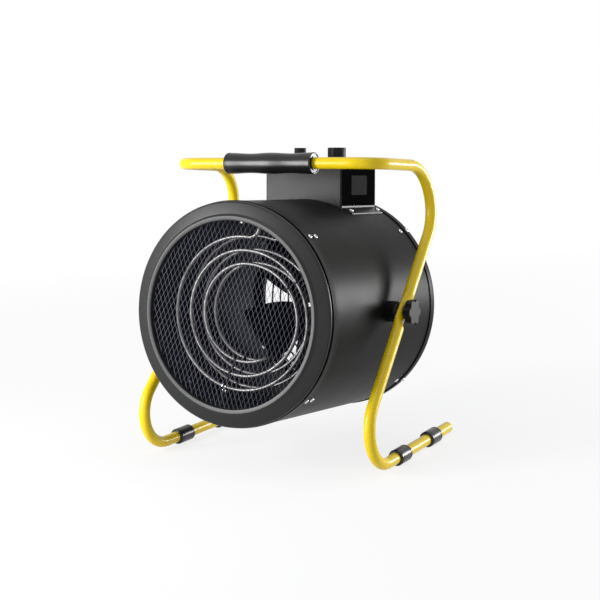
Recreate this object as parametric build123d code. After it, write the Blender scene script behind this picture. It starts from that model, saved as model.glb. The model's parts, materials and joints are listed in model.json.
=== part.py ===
from build123d import *
import math
import os

os.makedirs("parts", exist_ok=True)

# Forced air heater: a drum with a fan and a spiral heating element, hung
# between the two arms of a bent tube stand. All lengths are in millimetres.
# X runs across, -Y is the side that the warm air leaves, +Z is up.
# Pieces of the drum are placed by their depth behind the outlet lip and by
# their radius about the drum's axis. The tilt axis crosses that axis.

# ---------------------------------------------------------------- stand
TUBE_DIAMETER = 19.0
TUBE_WALL = 1.5
ARM_SPREAD = 204.6           # from the middle to the arm's centre line, at the pivot
ARM_LEAN = 0.06              # how much the arms close in for each mm of height
PIVOT_HEIGHT = 227.0         # from the feet's centre line up to the pivot
ARM_SLOPE = 43.7             # slope of the long arms, in degrees
UPPER_BEND_HEIGHT = 212.0    # corner of the upper rear bend, above the pivot
UPPER_BEND_RADIUS = 71.0
LOWER_BEND_RADIUS = 58.0
BAR_HEIGHT = 246.0           # top bar, above the pivot
BAR_AHEAD = 50.0             # top bar, in front of the pivot
BAR_BEND_RADIUS = 44.5
FOOT_END = 146.0             # end of the feet, behind the pivot
FOOT_TOE_IN = 12.5
FLAT_THICKNESS = 12.0        # the arm is pressed flat where the drum is clamped
FLAT_WIDTH = 24.8
FLAT_HALF_LENGTH = 15.0
FLAT_RUNOUT = 20.0
FLAT_INSET = 2.0
SLEEVE_DIAMETER = 27.0
SLEEVE_LENGTH = 40.0
SLEEVE_FRONT = -45.0         # middle of the front sleeve, from the pivot
SLEEVE_REAR = 77.0
SLEEVE_FLAT = 0.6            # worn flat under each sleeve
CAP_LIP = 1.6
CAP_PLUG = 14.0
GRIP_LENGTH = 164.0
GRIP_END_RADIUS = 17.3
GRIP_WAIST_RADIUS = 14.8
GRIP_BELLY_RADIUS = 17.4
GRIP_WAIST_FROM_END = 31.0

# ---------------------------------------------------------------- drum
DRUM_TILT = 6.0              # nose up, as the heater stands
CASING_RADIUS = 180.0
CASING_WALL = 1.2
DRUM_DEPTH = 370.0
PIVOT_DEPTH = 205.0
OUTLET_RADIUS = 149.2
RING_SHEET = 1.6
RING_LIP_WIDTH = 8.0
RING_LIP_FALL = 3.4
RING_CORNER_DEPTH = 8.2
RING_SKIRT_DEPTH = 12.8
RING_CORNER_FILLET = 4.5
RING_LIP_FLAT = 4.4          # flat top of the lip, before it slopes to the face
RING_STEP = 2.5              # plain stretch behind the groove
RING_STEP_RUN = 4.0          # length of the slope from the groove out to the spigot
GROOVE_WIDTH = 4.0
GROOVE_DROP = 6.0
SPIGOT_DEPTH = 40.0
BAND_DEPTH = 18.0
BAND_RISE = 0.5
BEAD_WIDTH = 1.8             # rolled bead on the casing's front edge
BEAD_RISE = 0.9
WIRE_HOLE_RADIUS = 12.0
CAP_RING_DEPTH = 14.0
CAP_RING_WALL = 1.4
CAP_FLANGE_RADIUS = 160.0
LINER_RADIUS = 152.0
LINER_WALL = 1.2
LINER_END = 326.0
LINER_FLARE = 6.0
LINER_FLANGE = 7.0
GRILLE_THICKNESS = 1.0
GRILLE_EDGE = 157.5
DIAMOND_WIDTH = 17.2         # twice the photographed mesh, which has about 900 gaps
DIAMOND_HEIGHT = 36.4
DIAMOND_STRAND = 2.4
DIAMOND_TURN = 9.0           # the diamonds lean to the right, in degrees

# ---------------------------------------------------------------- heating element
ELEMENT_DIAMETER = 6.5
ELEMENT_OUTER_RADIUS = 123.0
ELEMENT_INNER_RADIUS = 79.0
ELEMENT_LOOPS = 2            # whole loops between the innermost and the outermost one
FRONT_LEG_DEPTH = 40.0       # the outermost loop of the front leg
FRONT_LEG_INNER_DEPTH = 54.0
REAR_LEG_DEPTH = 80.0
REAR_LEG_INNER_DEPTH = 85.0
HAIRPIN_ANGLE = 163.0        # degrees clockwise from the top, seen from the front
FRONT_OUTER_TURN = 0.565     # how far the outermost loop runs on, in turns
REAR_OUTER_TURN = 0.592
JOG_START = 0.56             # where a loop steps out to the next, as part of a turn
JOG_LENGTH = 0.31
OUTER_LEAD_BEND = 18.0
LEAD_END_RADIUS = 160.0
SUPPORT_ANGLES = (195.0, 62.0)
SUPPORT_SHEET = 1.5
SUPPORT_BAR_WIDTH = 4.0
SUPPORT_EYE_RADIUS = 6.8
SUPPORT_MARGIN = 7.0
SUPPORT_FOOT = 12.0

# ---------------------------------------------------------------- fan and motor
BLADE_COUNT = 5
BLADE_RADIUS = 130.0
BLADE_SHEET = 2.0
BLADE_START = 25.5           # angle of the first blade
BLADE_SECTIONS = ((22.0, 30.0, 31.0), (70.0, 84.0, 26.5), (110.0, 102.0, 24.0), (140.0, 114.0, 22.5))
HUB_RADIUS = 28.0
HUB_DEPTH = 259.0
HUB_LENGTH = 28.0
SHAFT_RADIUS = 4.0
SHAFT_START = 253.0
SHAFT_END = 336.0
MOTOR_RADIUS = 48.0
MOTOR_LENGTH = 50.0
MOTOR_NOSE_RADIUS = 18.0
MOTOR_NOSE_LENGTH = 5.0
MOTOR_SCREW_CIRCLE = 34.0
MOTOR_RIB_DEPTHS = (12.0, 20.0, 28.0)
BRACKET_DEPTH = 298.0
BRACKET_SHEET = 3.0
BRACKET_ARM_WIDTH = 18.0
BRACKET_ARMS = 4
BRACKET_RING_RADIUS = 54.0
BRACKET_FOOT = 22.0          # how far each foot runs forwards along the liner
BRACKET_FOOT_SHEET = 2.6
BRACKET_SCREW_SETBACK = 12.0
BEARING_RADIUS = 11.0
BEARING_LENGTH = 7.0
GUARD_WIRE_RADIUS = 1.5
GUARD_RIM_RADIUS = 2.2
GUARD_RIM_GAP = 4.0
GUARD_FIRST_RING = 24.0
GUARD_PITCH = 16.5
GUARD_RINGS = 9
GUARD_SPOKES = 8

# ---------------------------------------------------------------- control box
BOX_WIDTH = 147.4
BOX_FRONT = 234.5
BOX_LENGTH = 121.0
BOX_TOP = 247.0
BOX_WALL = 1.5
BOX_CORNER = 3.0
FLANGE_REACH = 91.5
FLANGE_MARGIN = 6.0
PANEL_THICKNESS = 0.8
PANEL_MARGIN = 6.0
KNOB_DEPTH = 295.0
BIG_KNOB_X = 31.0
BIG_KNOB_RADIUS = 15.5
SMALL_KNOB_X = -41.0
SMALL_KNOB_RADIUS = 10.2
KNOB_HEIGHT = 18.5
SPINDLE_RADIUS = 3.0
THERMOSTAT_HEIGHT = 24.0
SWITCH_HEIGHT = 30.0
GLAND_RADIUS = 14.0
GLAND_BORE = 7.0
GLAND_THREAD_RADIUS = 10.0
GLAND_HEX_RADIUS = 15.5
GLAND_NUT_RADIUS = 14.8
GLAND_DOME_RADIUS = 13.0
GLAND_HEIGHT = 219.0
LOCKNUT_RADIUS = 14.0
LOCKNUT_LENGTH = 5.0
TERMINAL_HALF_WIDTH = 30.0
TERMINAL_HALF_DEPTH = 9.0
TERMINAL_HEIGHT = 18.0
TERMINAL_PITCH = 12.0
CUTOUT_ANGLE = -20.0
CUTOUT_DEPTH = 170.0
CUTOUT_RADIUS = 8.0

# ---------------------------------------------------------------- clamps and screws
BOSS_RADIUS = 17.0
WASHER_THICKNESS = 2.0
STUD_RADIUS = 4.0
STAR_RADIUS = 21.0
STAR_THICKNESS = 11.0
STAR_LOBES = 6
STAR_HUB_RADIUS = 12.0
STAR_HUB_LENGTH = 6.0
SCREW_HEAD_RADIUS = 3.9
SCREW_HEAD_HEIGHT = 2.4
SCREW_SHANK_RADIUS = 2.1
SCREW_LENGTH = 6.0
UPPER_SCREW_ANGLE = 46.0
LOWER_SCREW_ANGLE = 136.5
RING_SCREW_DEPTH = 30.8
FRONT_BRACKET_DEPTH = 48.3
REAR_BRACKET_DEPTH = 341.0
LOWER_BRACKET_ANGLE = 131.7
BRACKET_HALF_ANGLE = 11.0
BRACKET_STEP = 10.3          # from the casing screw to the liner screw, along the drum
REAR_BRACKET_STEP = 32.0
BRACKET_STEEL = 1.2
LINER_SCREW_OFFSET = 7.5     # degrees each side of a bracket's middle
SMALL_HEAD_RADIUS = 3.0
SMALL_HEAD_HEIGHT = 1.6
SMALL_SHANK_RADIUS = 1.5
BOX_SCREW_ANGLE = 27.3
BOX_SCREW_DEPTHS = (251.0, 344.0)

# ---------------------------------------------------------------- clearances
SEAT = 0.3                   # pieces that rest on each other
SNUG = 0.02                  # pieces fixed to each other
RUNNING = 0.05               # radial room of a turning shaft

SEAM_ANGLE = 205.0           # where the sheet drums have their seam, clear of all holes

# ---------------------------------------------------------------- worked out
TUBE_RADIUS = TUBE_DIAMETER / 2
SLEEVE_RADIUS = SLEEVE_DIAMETER / 2
ELEMENT_RADIUS = ELEMENT_DIAMETER / 2
RING_DEPTH = RING_SKIRT_DEPTH + GROOVE_WIDTH
CASING_BORE = CASING_RADIUS - CASING_WALL
SPIGOT_RADIUS = CASING_BORE - SEAT
CAP_RING_START = DRUM_DEPTH - CAP_RING_DEPTH
CASING_END = DRUM_DEPTH - CAP_RING_WALL - SEAT
CAP_RING_BORE = CASING_RADIUS + SEAT
CAP_RING_RADIUS = CAP_RING_BORE + CAP_RING_WALL
REAR_RING_SCREW_DEPTH = DRUM_DEPTH - CAP_RING_DEPTH / 2
LIP_BACK = 9.5
GRILLE_FRONT = LIP_BACK + SEAT
GRILLE_BACK = GRILLE_FRONT + GRILLE_THICKNESS
LINER_FRONT = GRILLE_BACK + SEAT
LINER_OUTSIDE = LINER_RADIUS + LINER_WALL
BOX_HALF = BOX_WIDTH / 2
BOX_END = BOX_FRONT + BOX_LENGTH
MOTOR_START = BRACKET_DEPTH + BRACKET_SHEET + SEAT
PANEL_TOP = BOX_TOP + SNUG + PANEL_THICKNESS
KNOB_BASE = PANEL_TOP + 1.0
KNOB_TOP = KNOB_BASE + KNOB_HEIGHT


def arm_x(height):
    """Distance from the middle to the arm's centre line, at a height above the pivot."""
    return ARM_SPREAD - ARM_LEAN * height


def arm_y(height):
    """How far behind the pivot the long arm is at a height above the pivot."""
    return height / math.tan(math.radians(ARM_SLOPE))


# ================================================================ helpers
def turned(points, fillets=None):
    """A solid of revolution about the drum's axis, from (radius, depth) corners."""
    corners = [(r, d - PIVOT_DEPTH) for r, d in points]
    if fillets:
        line = FilletPolyline(*corners, radius=fillets, close=True)
    else:
        line = Polyline(*corners, close=True)
    return Rot(0, SEAM_ANGLE - 90, 0) * revolve(make_face(line), Axis.Y)


def pipe(radius, start, end):
    """A solid cylinder about the drum's axis between two depths."""
    place = Plane(origin=(0, start - PIVOT_DEPTH, 0), z_dir=(0, 1, 0))
    return extrude(place * Circle(radius), end - start)


def tube(outer, inner, start, end):
    """A hollow cylinder about the drum's axis between two depths."""
    place = Plane(origin=(0, start - PIVOT_DEPTH, 0), z_dir=(0, 1, 0))
    return extrude(place * (Circle(outer) - Circle(inner)), end - start)


def around(angle, radius, depth):
    """A point at an angle clockwise from the top, seen from the front."""
    a = math.radians(angle)
    return Vector(radius * math.sin(a), depth - PIVOT_DEPTH, radius * math.cos(a))


def outward(angle):
    a = math.radians(angle)
    return Vector(math.sin(a), 0, math.cos(a))


def sideways(angle):
    a = math.radians(angle)
    return Vector(math.cos(a), 0, -math.sin(a))


def radial_plane(angle, radius, depth):
    """A plane whose normal points away from the drum's axis; its x runs rearwards."""
    return Plane(origin=around(angle, radius, depth), x_dir=(0, 1, 0), z_dir=outward(angle))


def radial_rod(angle, radius, depth, rod_radius, length):
    return extrude(radial_plane(angle, radius, depth) * Circle(rod_radius), length)


def block(x0, x1, d0, d1, z0, z1):
    """A box from sides at x, depths behind the lip and heights over the drum's axis."""
    size = (x1 - x0, d1 - d0, z1 - z0)
    middle = ((x0 + x1) / 2, (d0 + d1) / 2 - PIVOT_DEPTH, (z0 + z1) / 2)
    return Pos(*middle) * Box(*size)


def group(solids):
    return Compound(children=list(solids))


def both_sides(shape):
    return [shape, mirror(shape, about=Plane.YZ)]


# ================================================================ stand
def bar_end(side):
    return Vector(side * arm_x(BAR_HEIGHT), -BAR_AHEAD, BAR_HEIGHT)


def upper_corner(side):
    height = UPPER_BEND_HEIGHT
    return Vector(side * arm_x(height), arm_y(height), height)


def lower_corner(side):
    height = -PIVOT_HEIGHT
    return Vector(side * arm_x(height), arm_y(height), height)


def foot_end(side):
    x = arm_x(-PIVOT_HEIGHT) - FOOT_TOE_IN
    return Vector(side * x, FOOT_END, -PIVOT_HEIGHT)


def foot_point(side, y):
    """The point of a foot's centre line at a distance behind the pivot."""
    start = lower_corner(side)
    end = foot_end(side)
    return start + (end - start) * ((y - start.Y) / (end.Y - start.Y))


def foot_plane(side, y):
    """A plane across the foot, with its normal running rearwards."""
    along = (foot_end(side) - lower_corner(side)).normalized()
    return Plane(origin=foot_point(side, y), x_dir=(1, 0, 0), z_dir=along)


def pivot_point(side):
    return Vector(side * ARM_SPREAD, 0, 0)


def arm_direction(side):
    return (upper_corner(side) - lower_corner(side)).normalized()


def swept_tube(path):
    section = Circle(TUBE_RADIUS) - Circle(TUBE_RADIUS - TUBE_WALL)
    return sweep(Plane(origin=path @ 0, z_dir=path % 0) * section, path=path)


def pressed_flat(side, wall):
    """The stretch of arm pressed flat at the pivot; wall is taken off all round."""
    axis = arm_direction(side)
    upright_axis = Vector(0, axis.Y, axis.Z).normalized()
    ends = FLAT_HALF_LENGTH + FLAT_RUNOUT

    def round_end(along):
        place = Plane(origin=pivot_point(side) + axis * along, x_dir=(1, 0, 0), z_dir=axis)
        return place * Circle(TUBE_RADIUS - wall)

    def flat_end(along):
        middle = Vector(side * (ARM_SPREAD - FLAT_INSET), 0, 0) + upright_axis * along
        place = Plane(origin=middle, x_dir=(1, 0, 0), z_dir=upright_axis)
        return place * Ellipse(FLAT_THICKNESS / 2 - wall, FLAT_WIDTH / 2 - wall)

    return [
        loft([round_end(-ends), flat_end(-FLAT_HALF_LENGTH)]),
        loft([flat_end(-FLAT_HALF_LENGTH), flat_end(FLAT_HALF_LENGTH)]),
        loft([flat_end(FLAT_HALF_LENGTH), round_end(ends)]),
    ]


def make_stand_tube():
    ends = FLAT_HALF_LENGTH + FLAT_RUNOUT
    solids = []
    for side in (-1, 1):
        start = pivot_point(side) - arm_direction(side) * ends
        leg = FilletPolyline(foot_end(side), lower_corner(side), start, radius=LOWER_BEND_RADIUS)
        solids.append(swept_tube(leg))
        outsides, insides = pressed_flat(side, 0), pressed_flat(side, TUBE_WALL)
        solids += [outside - inside for outside, inside in zip(outsides, insides)]
    right = pivot_point(1) + arm_direction(1) * ends
    left = pivot_point(-1) + arm_direction(-1) * ends
    over = FilletPolyline(
        right, upper_corner(1), bar_end(1), bar_end(-1), upper_corner(-1), left,
        radius=[UPPER_BEND_RADIUS, BAR_BEND_RADIUS, BAR_BEND_RADIUS, UPPER_BEND_RADIUS],
    )
    body = swept_tube(over).fuse(*solids)
    stud_hole = Plane.YZ * Circle(STUD_RADIUS + SEAT)
    return body - extrude(stud_hole, 2 * ARM_SPREAD, both=True)


def make_handle_grip():
    half = GRIP_LENGTH / 2
    bore = TUBE_RADIUS + SNUG
    waist = half - GRIP_WAIST_FROM_END
    outline = Spline(
        (-half + 3, GRIP_END_RADIUS), (-waist, GRIP_WAIST_RADIUS), (0, GRIP_BELLY_RADIUS),
        (waist, GRIP_WAIST_RADIUS), (half - 3, GRIP_END_RADIUS),
        tangents=[(1, 0), (1, 0)],
    )
    ends = Polyline(
        (half - 3, GRIP_END_RADIUS), (half, GRIP_END_RADIUS - 2), (half, bore),
        (-half, bore), (-half, GRIP_END_RADIUS - 2), (-half + 3, GRIP_END_RADIUS),
    )
    body = revolve(make_face(outline + ends), Axis.X)
    return Pos(0, -BAR_AHEAD, BAR_HEIGHT) * body


def make_foot_sleeves():
    floor = -PIVOT_HEIGHT - SLEEVE_RADIUS + SLEEVE_FLAT
    sleeves = []
    for side in (-1, 1):
        for middle in (SLEEVE_FRONT, SLEEVE_REAR):
            place = foot_plane(side, middle - SLEEVE_LENGTH / 2)
            body = extrude(place * Circle(SLEEVE_RADIUS), SLEEVE_LENGTH)
            body = chamfer(body.edges(), 2.0)
            body -= extrude(place * Circle(TUBE_RADIUS + SNUG), SLEEVE_LENGTH)
            under = Box(60, 2 * SLEEVE_LENGTH, 20, align=(Align.CENTER, Align.CENTER, Align.MAX))
            sleeves.append(body - Pos(foot_point(side, middle).X, middle, floor) * under)
    return group(sleeves)


def make_tube_end_caps():
    caps = []
    for side in (-1, 1):
        place = foot_plane(side, FOOT_END)
        lip = extrude(place * Circle(TUBE_RADIUS), CAP_LIP)
        lip = chamfer(lip.faces().sort_by(Axis.Y)[-1].edges(), 0.6)
        plug = extrude(place * Circle(TUBE_RADIUS - TUBE_WALL - SNUG), -CAP_PLUG)
        caps.append(lip + plug)
    return group(caps)


# ================================================================ drum shells
def make_front_ring():
    lip = OUTLET_RADIUS + RING_LIP_WIDTH
    edge = CASING_RADIUS
    spigot = edge - GROOVE_DROP
    t = RING_SHEET
    step_back = RING_SKIRT_DEPTH + GROOVE_WIDTH + RING_STEP
    outer = [
        (OUTLET_RADIUS, LIP_BACK), (OUTLET_RADIUS, 0), (OUTLET_RADIUS + RING_LIP_FLAT, 0),
        (lip, RING_LIP_FALL),
        (edge, RING_CORNER_DEPTH), (edge, RING_SKIRT_DEPTH), (spigot, RING_SKIRT_DEPTH),
        (spigot, step_back), (SPIGOT_RADIUS, step_back + RING_STEP_RUN),
        (SPIGOT_RADIUS, SPIGOT_DEPTH),
    ]
    inner = [
        (SPIGOT_RADIUS - t, SPIGOT_DEPTH), (SPIGOT_RADIUS - t, step_back + RING_STEP_RUN + 0.7),
        (spigot - t, step_back + 0.7), (spigot - t, RING_SKIRT_DEPTH - t),
        (edge - t, RING_SKIRT_DEPTH - t), (edge - t, RING_CORNER_DEPTH + 1.4),
        (lip - 0.6, RING_LIP_FALL + t), (OUTLET_RADIUS + RING_LIP_FLAT - 0.6, t),
        (OUTLET_RADIUS + t, t),
        (OUTLET_RADIUS + t, LIP_BACK),
    ]
    fillets = [0, 1.9, 3.0, 1.5, RING_CORNER_FILLET, 0.5, 0, 0, 0, 0]
    body = turned(outer + inner)
    rims = body.edges().filter_by(GeomType.CIRCLE)
    for (radius, depth), size in zip(outer, fillets):
        if size:
            y = depth - PIVOT_DEPTH
            rim = [e for e in rims if abs(e.radius - radius) < 0.01 and abs(e.center().Y - y) < 0.01]
            body = fillet(rim, size)
            rims = body.edges().filter_by(GeomType.CIRCLE)
    holes = [
        radial_rod(angle, CASING_RADIUS - 8, RING_SCREW_DEPTH, SCREW_SHANK_RADIUS + SNUG, 10)
        for angle in screw_angles()
    ]
    return body - holes


def screw_angles():
    return [side * a for a in (UPPER_SCREW_ANGLE, LOWER_SCREW_ANGLE) for side in (-1, 1)]


def diamond(width, height):
    return make_face(Polyline(
        (-width / 2, 0), (0, -height / 2), (width / 2, 0), (0, height / 2), close=True))


def make_front_grille():
    """Expanded mesh: one flat disc with leaning rows of diamond gaps."""
    slant = math.hypot(DIAMOND_WIDTH, DIAMOND_HEIGHT) / DIAMOND_HEIGHT
    gap_width = DIAMOND_WIDTH - DIAMOND_STRAND * slant
    gap_height = DIAMOND_HEIGHT * gap_width / DIAMOND_WIDTH
    reach = OUTLET_RADIUS - 1.0
    place = Plane(origin=(0, GRILLE_FRONT - PIVOT_DEPTH, 0), x_dir=(1, 0, 0), z_dir=(0, -1, 0))
    rows = int(2 * reach / DIAMOND_HEIGHT) + 1
    columns = int(reach / DIAMOND_WIDTH) + 1
    gaps = []
    for row in range(-rows, rows + 1):
        z = row * DIAMOND_HEIGHT / 2
        shift = (row % 2) * DIAMOND_WIDTH / 2
        for column in range(-columns, columns + 1):
            x = column * DIAMOND_WIDTH + shift
            far = max(math.hypot(abs(x) + gap_width / 2, z), math.hypot(x, abs(z) + gap_height / 2))
            if far < reach:
                gaps.append(Rot(0, 0, -DIAMOND_TURN) * Pos(x, z) * diamond(gap_width, gap_height))
    print("grille gaps", len(gaps))
    disc = Circle(GRILLE_EDGE).face()
    holed = Face(disc.outer_wire(), [gap.face().outer_wire() for gap in gaps])
    return extrude(place * holed, -GRILLE_THICKNESS)


def make_drum_casing():
    r = CASING_RADIUS
    start = RING_DEPTH
    profile = [
        (CASING_BORE, start), (r + BEAD_RISE, start), (r + BEAD_RISE, start + BEAD_WIDTH),
        (r + BAND_RISE, start + BEAD_WIDTH + 0.8), (r + BAND_RISE, start + BAND_DEPTH),
        (r, start + BAND_DEPTH + 1.5), (r, CASING_END), (CASING_BORE, CASING_END),
    ]
    body = turned(profile)
    cuts = []
    for angle in screw_angles():
        for depth in (RING_SCREW_DEPTH, FRONT_BRACKET_DEPTH, REAR_BRACKET_DEPTH, REAR_RING_SCREW_DEPTH):
            cuts.append(radial_rod(angle, r - 6, depth, SCREW_SHANK_RADIUS + SNUG, 12))
    for side in (-1, 1):
        for depth in BOX_SCREW_DEPTHS:
            cuts.append(radial_rod(side * BOX_SCREW_ANGLE, r - 6, depth, SCREW_SHANK_RADIUS + SNUG, 12))
    cuts.append(radial_rod(0, r - 12, KNOB_DEPTH, WIRE_HOLE_RADIUS, 24))
    for side in (-90, 90):
        cuts.append(radial_rod(side, r - 12, PIVOT_DEPTH, STUD_RADIUS + SEAT, 24))
    return body - cuts


def make_rear_ring():
    profile = [
        (CAP_RING_BORE, CAP_RING_START), (CAP_RING_RADIUS, CAP_RING_START),
        (CAP_RING_RADIUS, DRUM_DEPTH), (CAP_FLANGE_RADIUS, DRUM_DEPTH),
        (CAP_FLANGE_RADIUS, DRUM_DEPTH - CAP_RING_WALL),
        (CAP_RING_BORE, DRUM_DEPTH - CAP_RING_WALL),
    ]
    body = turned(profile)
    rims = body.edges().filter_by(GeomType.CIRCLE)
    outer = [e for e in rims if e.radius > CAP_RING_RADIUS - 0.01]
    body = fillet(outer, 1.2)
    holes = [
        radial_rod(angle, CASING_RADIUS - 4, REAR_RING_SCREW_DEPTH, SCREW_SHANK_RADIUS + SNUG, 10)
        for angle in screw_angles()
    ]
    return body - holes


def make_inner_liner():
    flange = LINER_OUTSIDE + LINER_FLANGE
    flare = LINER_FLARE
    profile = [
        (LINER_RADIUS, LINER_FRONT), (flange, LINER_FRONT), (flange, LINER_FRONT + LINER_WALL),
        (LINER_OUTSIDE, LINER_FRONT + LINER_WALL),
        (LINER_OUTSIDE, LINER_END - flare), (LINER_OUTSIDE + flare, LINER_END),
        (LINER_OUTSIDE + flare - LINER_WALL, LINER_END + LINER_WALL), (LINER_RADIUS, LINER_END - flare),
    ]
    body = turned(profile)
    cuts = []
    for leg in LEGS:
        cuts.append(radial_rod(lead_place(leg)[0], LINER_RADIUS - 6, leg[0], ELEMENT_RADIUS + SEAT, 14))
    for angle, depth in liner_screw_places() + support_screw_places() + arm_screw_places():
        cuts.append(radial_rod(angle, LINER_RADIUS - 6, depth, SMALL_SHANK_RADIUS + SNUG, 14))
    return body - cuts


# ================================================================ brackets and screws
def bracket_angles():
    return [side * a for a in (UPPER_SCREW_ANGLE, LOWER_BRACKET_ANGLE) for side in (-1, 1)]


def liner_screw_places():
    places = []
    for angle in bracket_angles():
        for offset in (-LINER_SCREW_OFFSET, LINER_SCREW_OFFSET):
            places.append((angle + offset, FRONT_BRACKET_DEPTH - BRACKET_STEP))
            places.append((angle + offset, REAR_BRACKET_DEPTH - REAR_BRACKET_STEP))
    return places


def wedge(angle, half_angle, reach, start, end):
    """A slice of the drum's space, about an angle."""
    a = math.radians(half_angle)
    side = reach / math.cos(a)
    corners = [(0, 0), (side * math.sin(a), side * math.cos(a)), (-side * math.sin(a), side * math.cos(a))]
    face = make_face(Polyline(*corners, close=True))
    place = Plane(origin=(0, end - PIVOT_DEPTH, 0), x_dir=(1, 0, 0), z_dir=(0, -1, 0))
    return extrude(place * (Rot(0, 0, -angle) * face), end - start)


def make_liner_brackets():
    """Z-shaped spacers that hold the liner in the casing, and their holes."""
    outer = CASING_BORE - SEAT
    inner = LINER_OUTSIDE + SEAT
    t = BRACKET_STEEL
    brackets = []
    for depth, step in ((FRONT_BRACKET_DEPTH, BRACKET_STEP), (REAR_BRACKET_DEPTH, REAR_BRACKET_STEP)):
        web = depth - step + BRACKET_STEP / 2
        profile = [
            (outer, web), (outer, depth + 6), (outer - t, depth + 6), (outer - t, web + t),
            (inner, web + t), (inner, depth - step - 5), (inner + t, depth - step - 5),
            (inner + t, web),
        ]
        sheet = turned(profile)
        for angle in bracket_angles():
            front, rear = depth - step - 10, depth + 10
            piece = sheet & wedge(angle, BRACKET_HALF_ANGLE, CASING_RADIUS + 20, front, rear)
            offset_angle = UPPER_SCREW_ANGLE if abs(angle) < 90 else LOWER_SCREW_ANGLE
            screw_angle = math.copysign(offset_angle, angle)
            piece -= radial_rod(screw_angle, outer - 8, depth, SCREW_SHANK_RADIUS + SNUG, 12)
            for offset in (-LINER_SCREW_OFFSET, LINER_SCREW_OFFSET):
                place = (angle + offset, inner - 4, depth - step)
                piece -= radial_rod(*place, SMALL_SHANK_RADIUS + SNUG, 10)
            brackets.append(piece)
    return group(brackets)


def pan_screw(angle, surface, depth, head_radius, head_height, shank_radius, length):
    """A round-headed screw standing on a surface that faces away from the axis."""
    head = extrude(radial_plane(angle, surface, depth) * Circle(head_radius), head_height)
    top = head.edges().sort_by(lambda e: -e.center().dot(outward(angle)))[0]
    head = fillet(top, head_height * 0.75)
    slot = radial_plane(angle, surface + head_height * 0.5, depth) * (
        Rectangle(head_radius, 0.8) + Rectangle(0.8, head_radius))
    head -= extrude(slot, head_height)
    shank = extrude(radial_plane(angle, surface, depth) * Circle(shank_radius), -length)
    return head + shank


def casing_screw(angle, depth, surface):
    return pan_screw(angle, surface, depth, SCREW_HEAD_RADIUS, SCREW_HEAD_HEIGHT,
                     SCREW_SHANK_RADIUS, SCREW_LENGTH)


def make_casing_screws():
    screws = []
    band = CASING_RADIUS + BAND_RISE + SNUG
    for angle in screw_angles():
        screws.append(casing_screw(angle, RING_SCREW_DEPTH, band))
        screws.append(casing_screw(angle, FRONT_BRACKET_DEPTH, CASING_RADIUS + SNUG))
        screws.append(casing_screw(angle, REAR_BRACKET_DEPTH, CASING_RADIUS + SNUG))
        screws.append(casing_screw(angle, REAR_RING_SCREW_DEPTH, CAP_RING_RADIUS + SNUG))
    return group(screws)


def make_box_screws():
    surface = CASING_RADIUS + SEAT + BOX_WALL + SNUG
    return group(
        casing_screw(side * BOX_SCREW_ANGLE, depth, surface)
        for side in (-1, 1) for depth in BOX_SCREW_DEPTHS
    )


def inner_screw(angle, depth, surface, length):
    """A small screw with its head inside the liner and its shank pointing outwards."""
    place = radial_plane(angle, surface, depth)
    head = extrude(place * Circle(SMALL_HEAD_RADIUS), -SMALL_HEAD_HEIGHT)
    shank = extrude(place * Circle(SMALL_SHANK_RADIUS), length)
    return head + shank


def make_liner_screws():
    surface = LINER_RADIUS - SNUG - sagitta(SMALL_HEAD_RADIUS, LINER_RADIUS)
    return group(inner_screw(angle, depth, surface, 5.0) for angle, depth in liner_screw_places())


def sagitta(half_width, radius):
    """How far a chord of this half width lies inside a circle."""
    return radius - math.sqrt(radius ** 2 - half_width ** 2)


# ================================================================ heating element
# The element is a hairpin: its front leg and its rear leg are spirals of the same
# shape, one behind the other, joined at their inner ends.
LEGS = (
    (FRONT_LEG_DEPTH, FRONT_LEG_INNER_DEPTH, ELEMENT_LOOPS + FRONT_OUTER_TURN),
    (REAR_LEG_DEPTH, REAR_LEG_INNER_DEPTH, ELEMENT_LOOPS + REAR_OUTER_TURN),
)


def loop_place(leg, turn):
    """Radius and depth of a leg after so many turns from its inner end."""
    outer_depth, inner_depth, _ = leg
    whole = min(int(turn), ELEMENT_LOOPS)
    part = (turn - whole - JOG_START) / JOG_LENGTH if whole < ELEMENT_LOOPS else 0
    part = max(0.0, min(1.0, part))
    share = (whole + part * part * (3 - 2 * part)) / ELEMENT_LOOPS
    radius = ELEMENT_INNER_RADIUS + (ELEMENT_OUTER_RADIUS - ELEMENT_INNER_RADIUS) * share
    return radius, inner_depth + (outer_depth - inner_depth) * share


def loop_point(leg, turn):
    radius, depth = loop_place(leg, turn)
    return around(HAIRPIN_ANGLE + 360 * turn, radius, depth)


def loop_tangent(leg, turn):
    step = 0.002
    return (loop_point(leg, turn + step) - loop_point(leg, turn - step)).normalized()


def biarc(start, start_way, end, end_way):
    """Two arcs that meet smoothly, from one point and direction to another."""
    span = end - start
    both = start_way + end_way
    bend = 2 * (1 - start_way.dot(end_way))
    along = span.dot(both)
    if bend < 1e-9:
        reach = span.dot(span) / (2 * along)
    else:
        reach = (-along + math.sqrt(along ** 2 + bend * span.dot(span))) / bend
    middle = (start + end + (start_way - end_way) * reach) * 0.5
    first = TangentArc(start, middle, tangent=start_way)
    second = TangentArc(middle, end, tangent=first % 1)
    return [first, second]


def lead_bend():
    """The bend from the outermost loop to a lead: how far it runs on and out."""
    bend = OUTER_LEAD_BEND
    turn = math.acos(bend / (ELEMENT_OUTER_RADIUS + bend))
    return bend * math.sin(turn), ELEMENT_OUTER_RADIUS + bend * (1 - math.cos(turn))


def lead_place(leg):
    """Angle and depth at which a leg's lead crosses the liner."""
    outer_depth, _, turns = leg
    run, rise = lead_bend()
    return (HAIRPIN_ANGLE + 360 * turns + math.degrees(math.atan2(run, rise))) % 360, outer_depth


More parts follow.
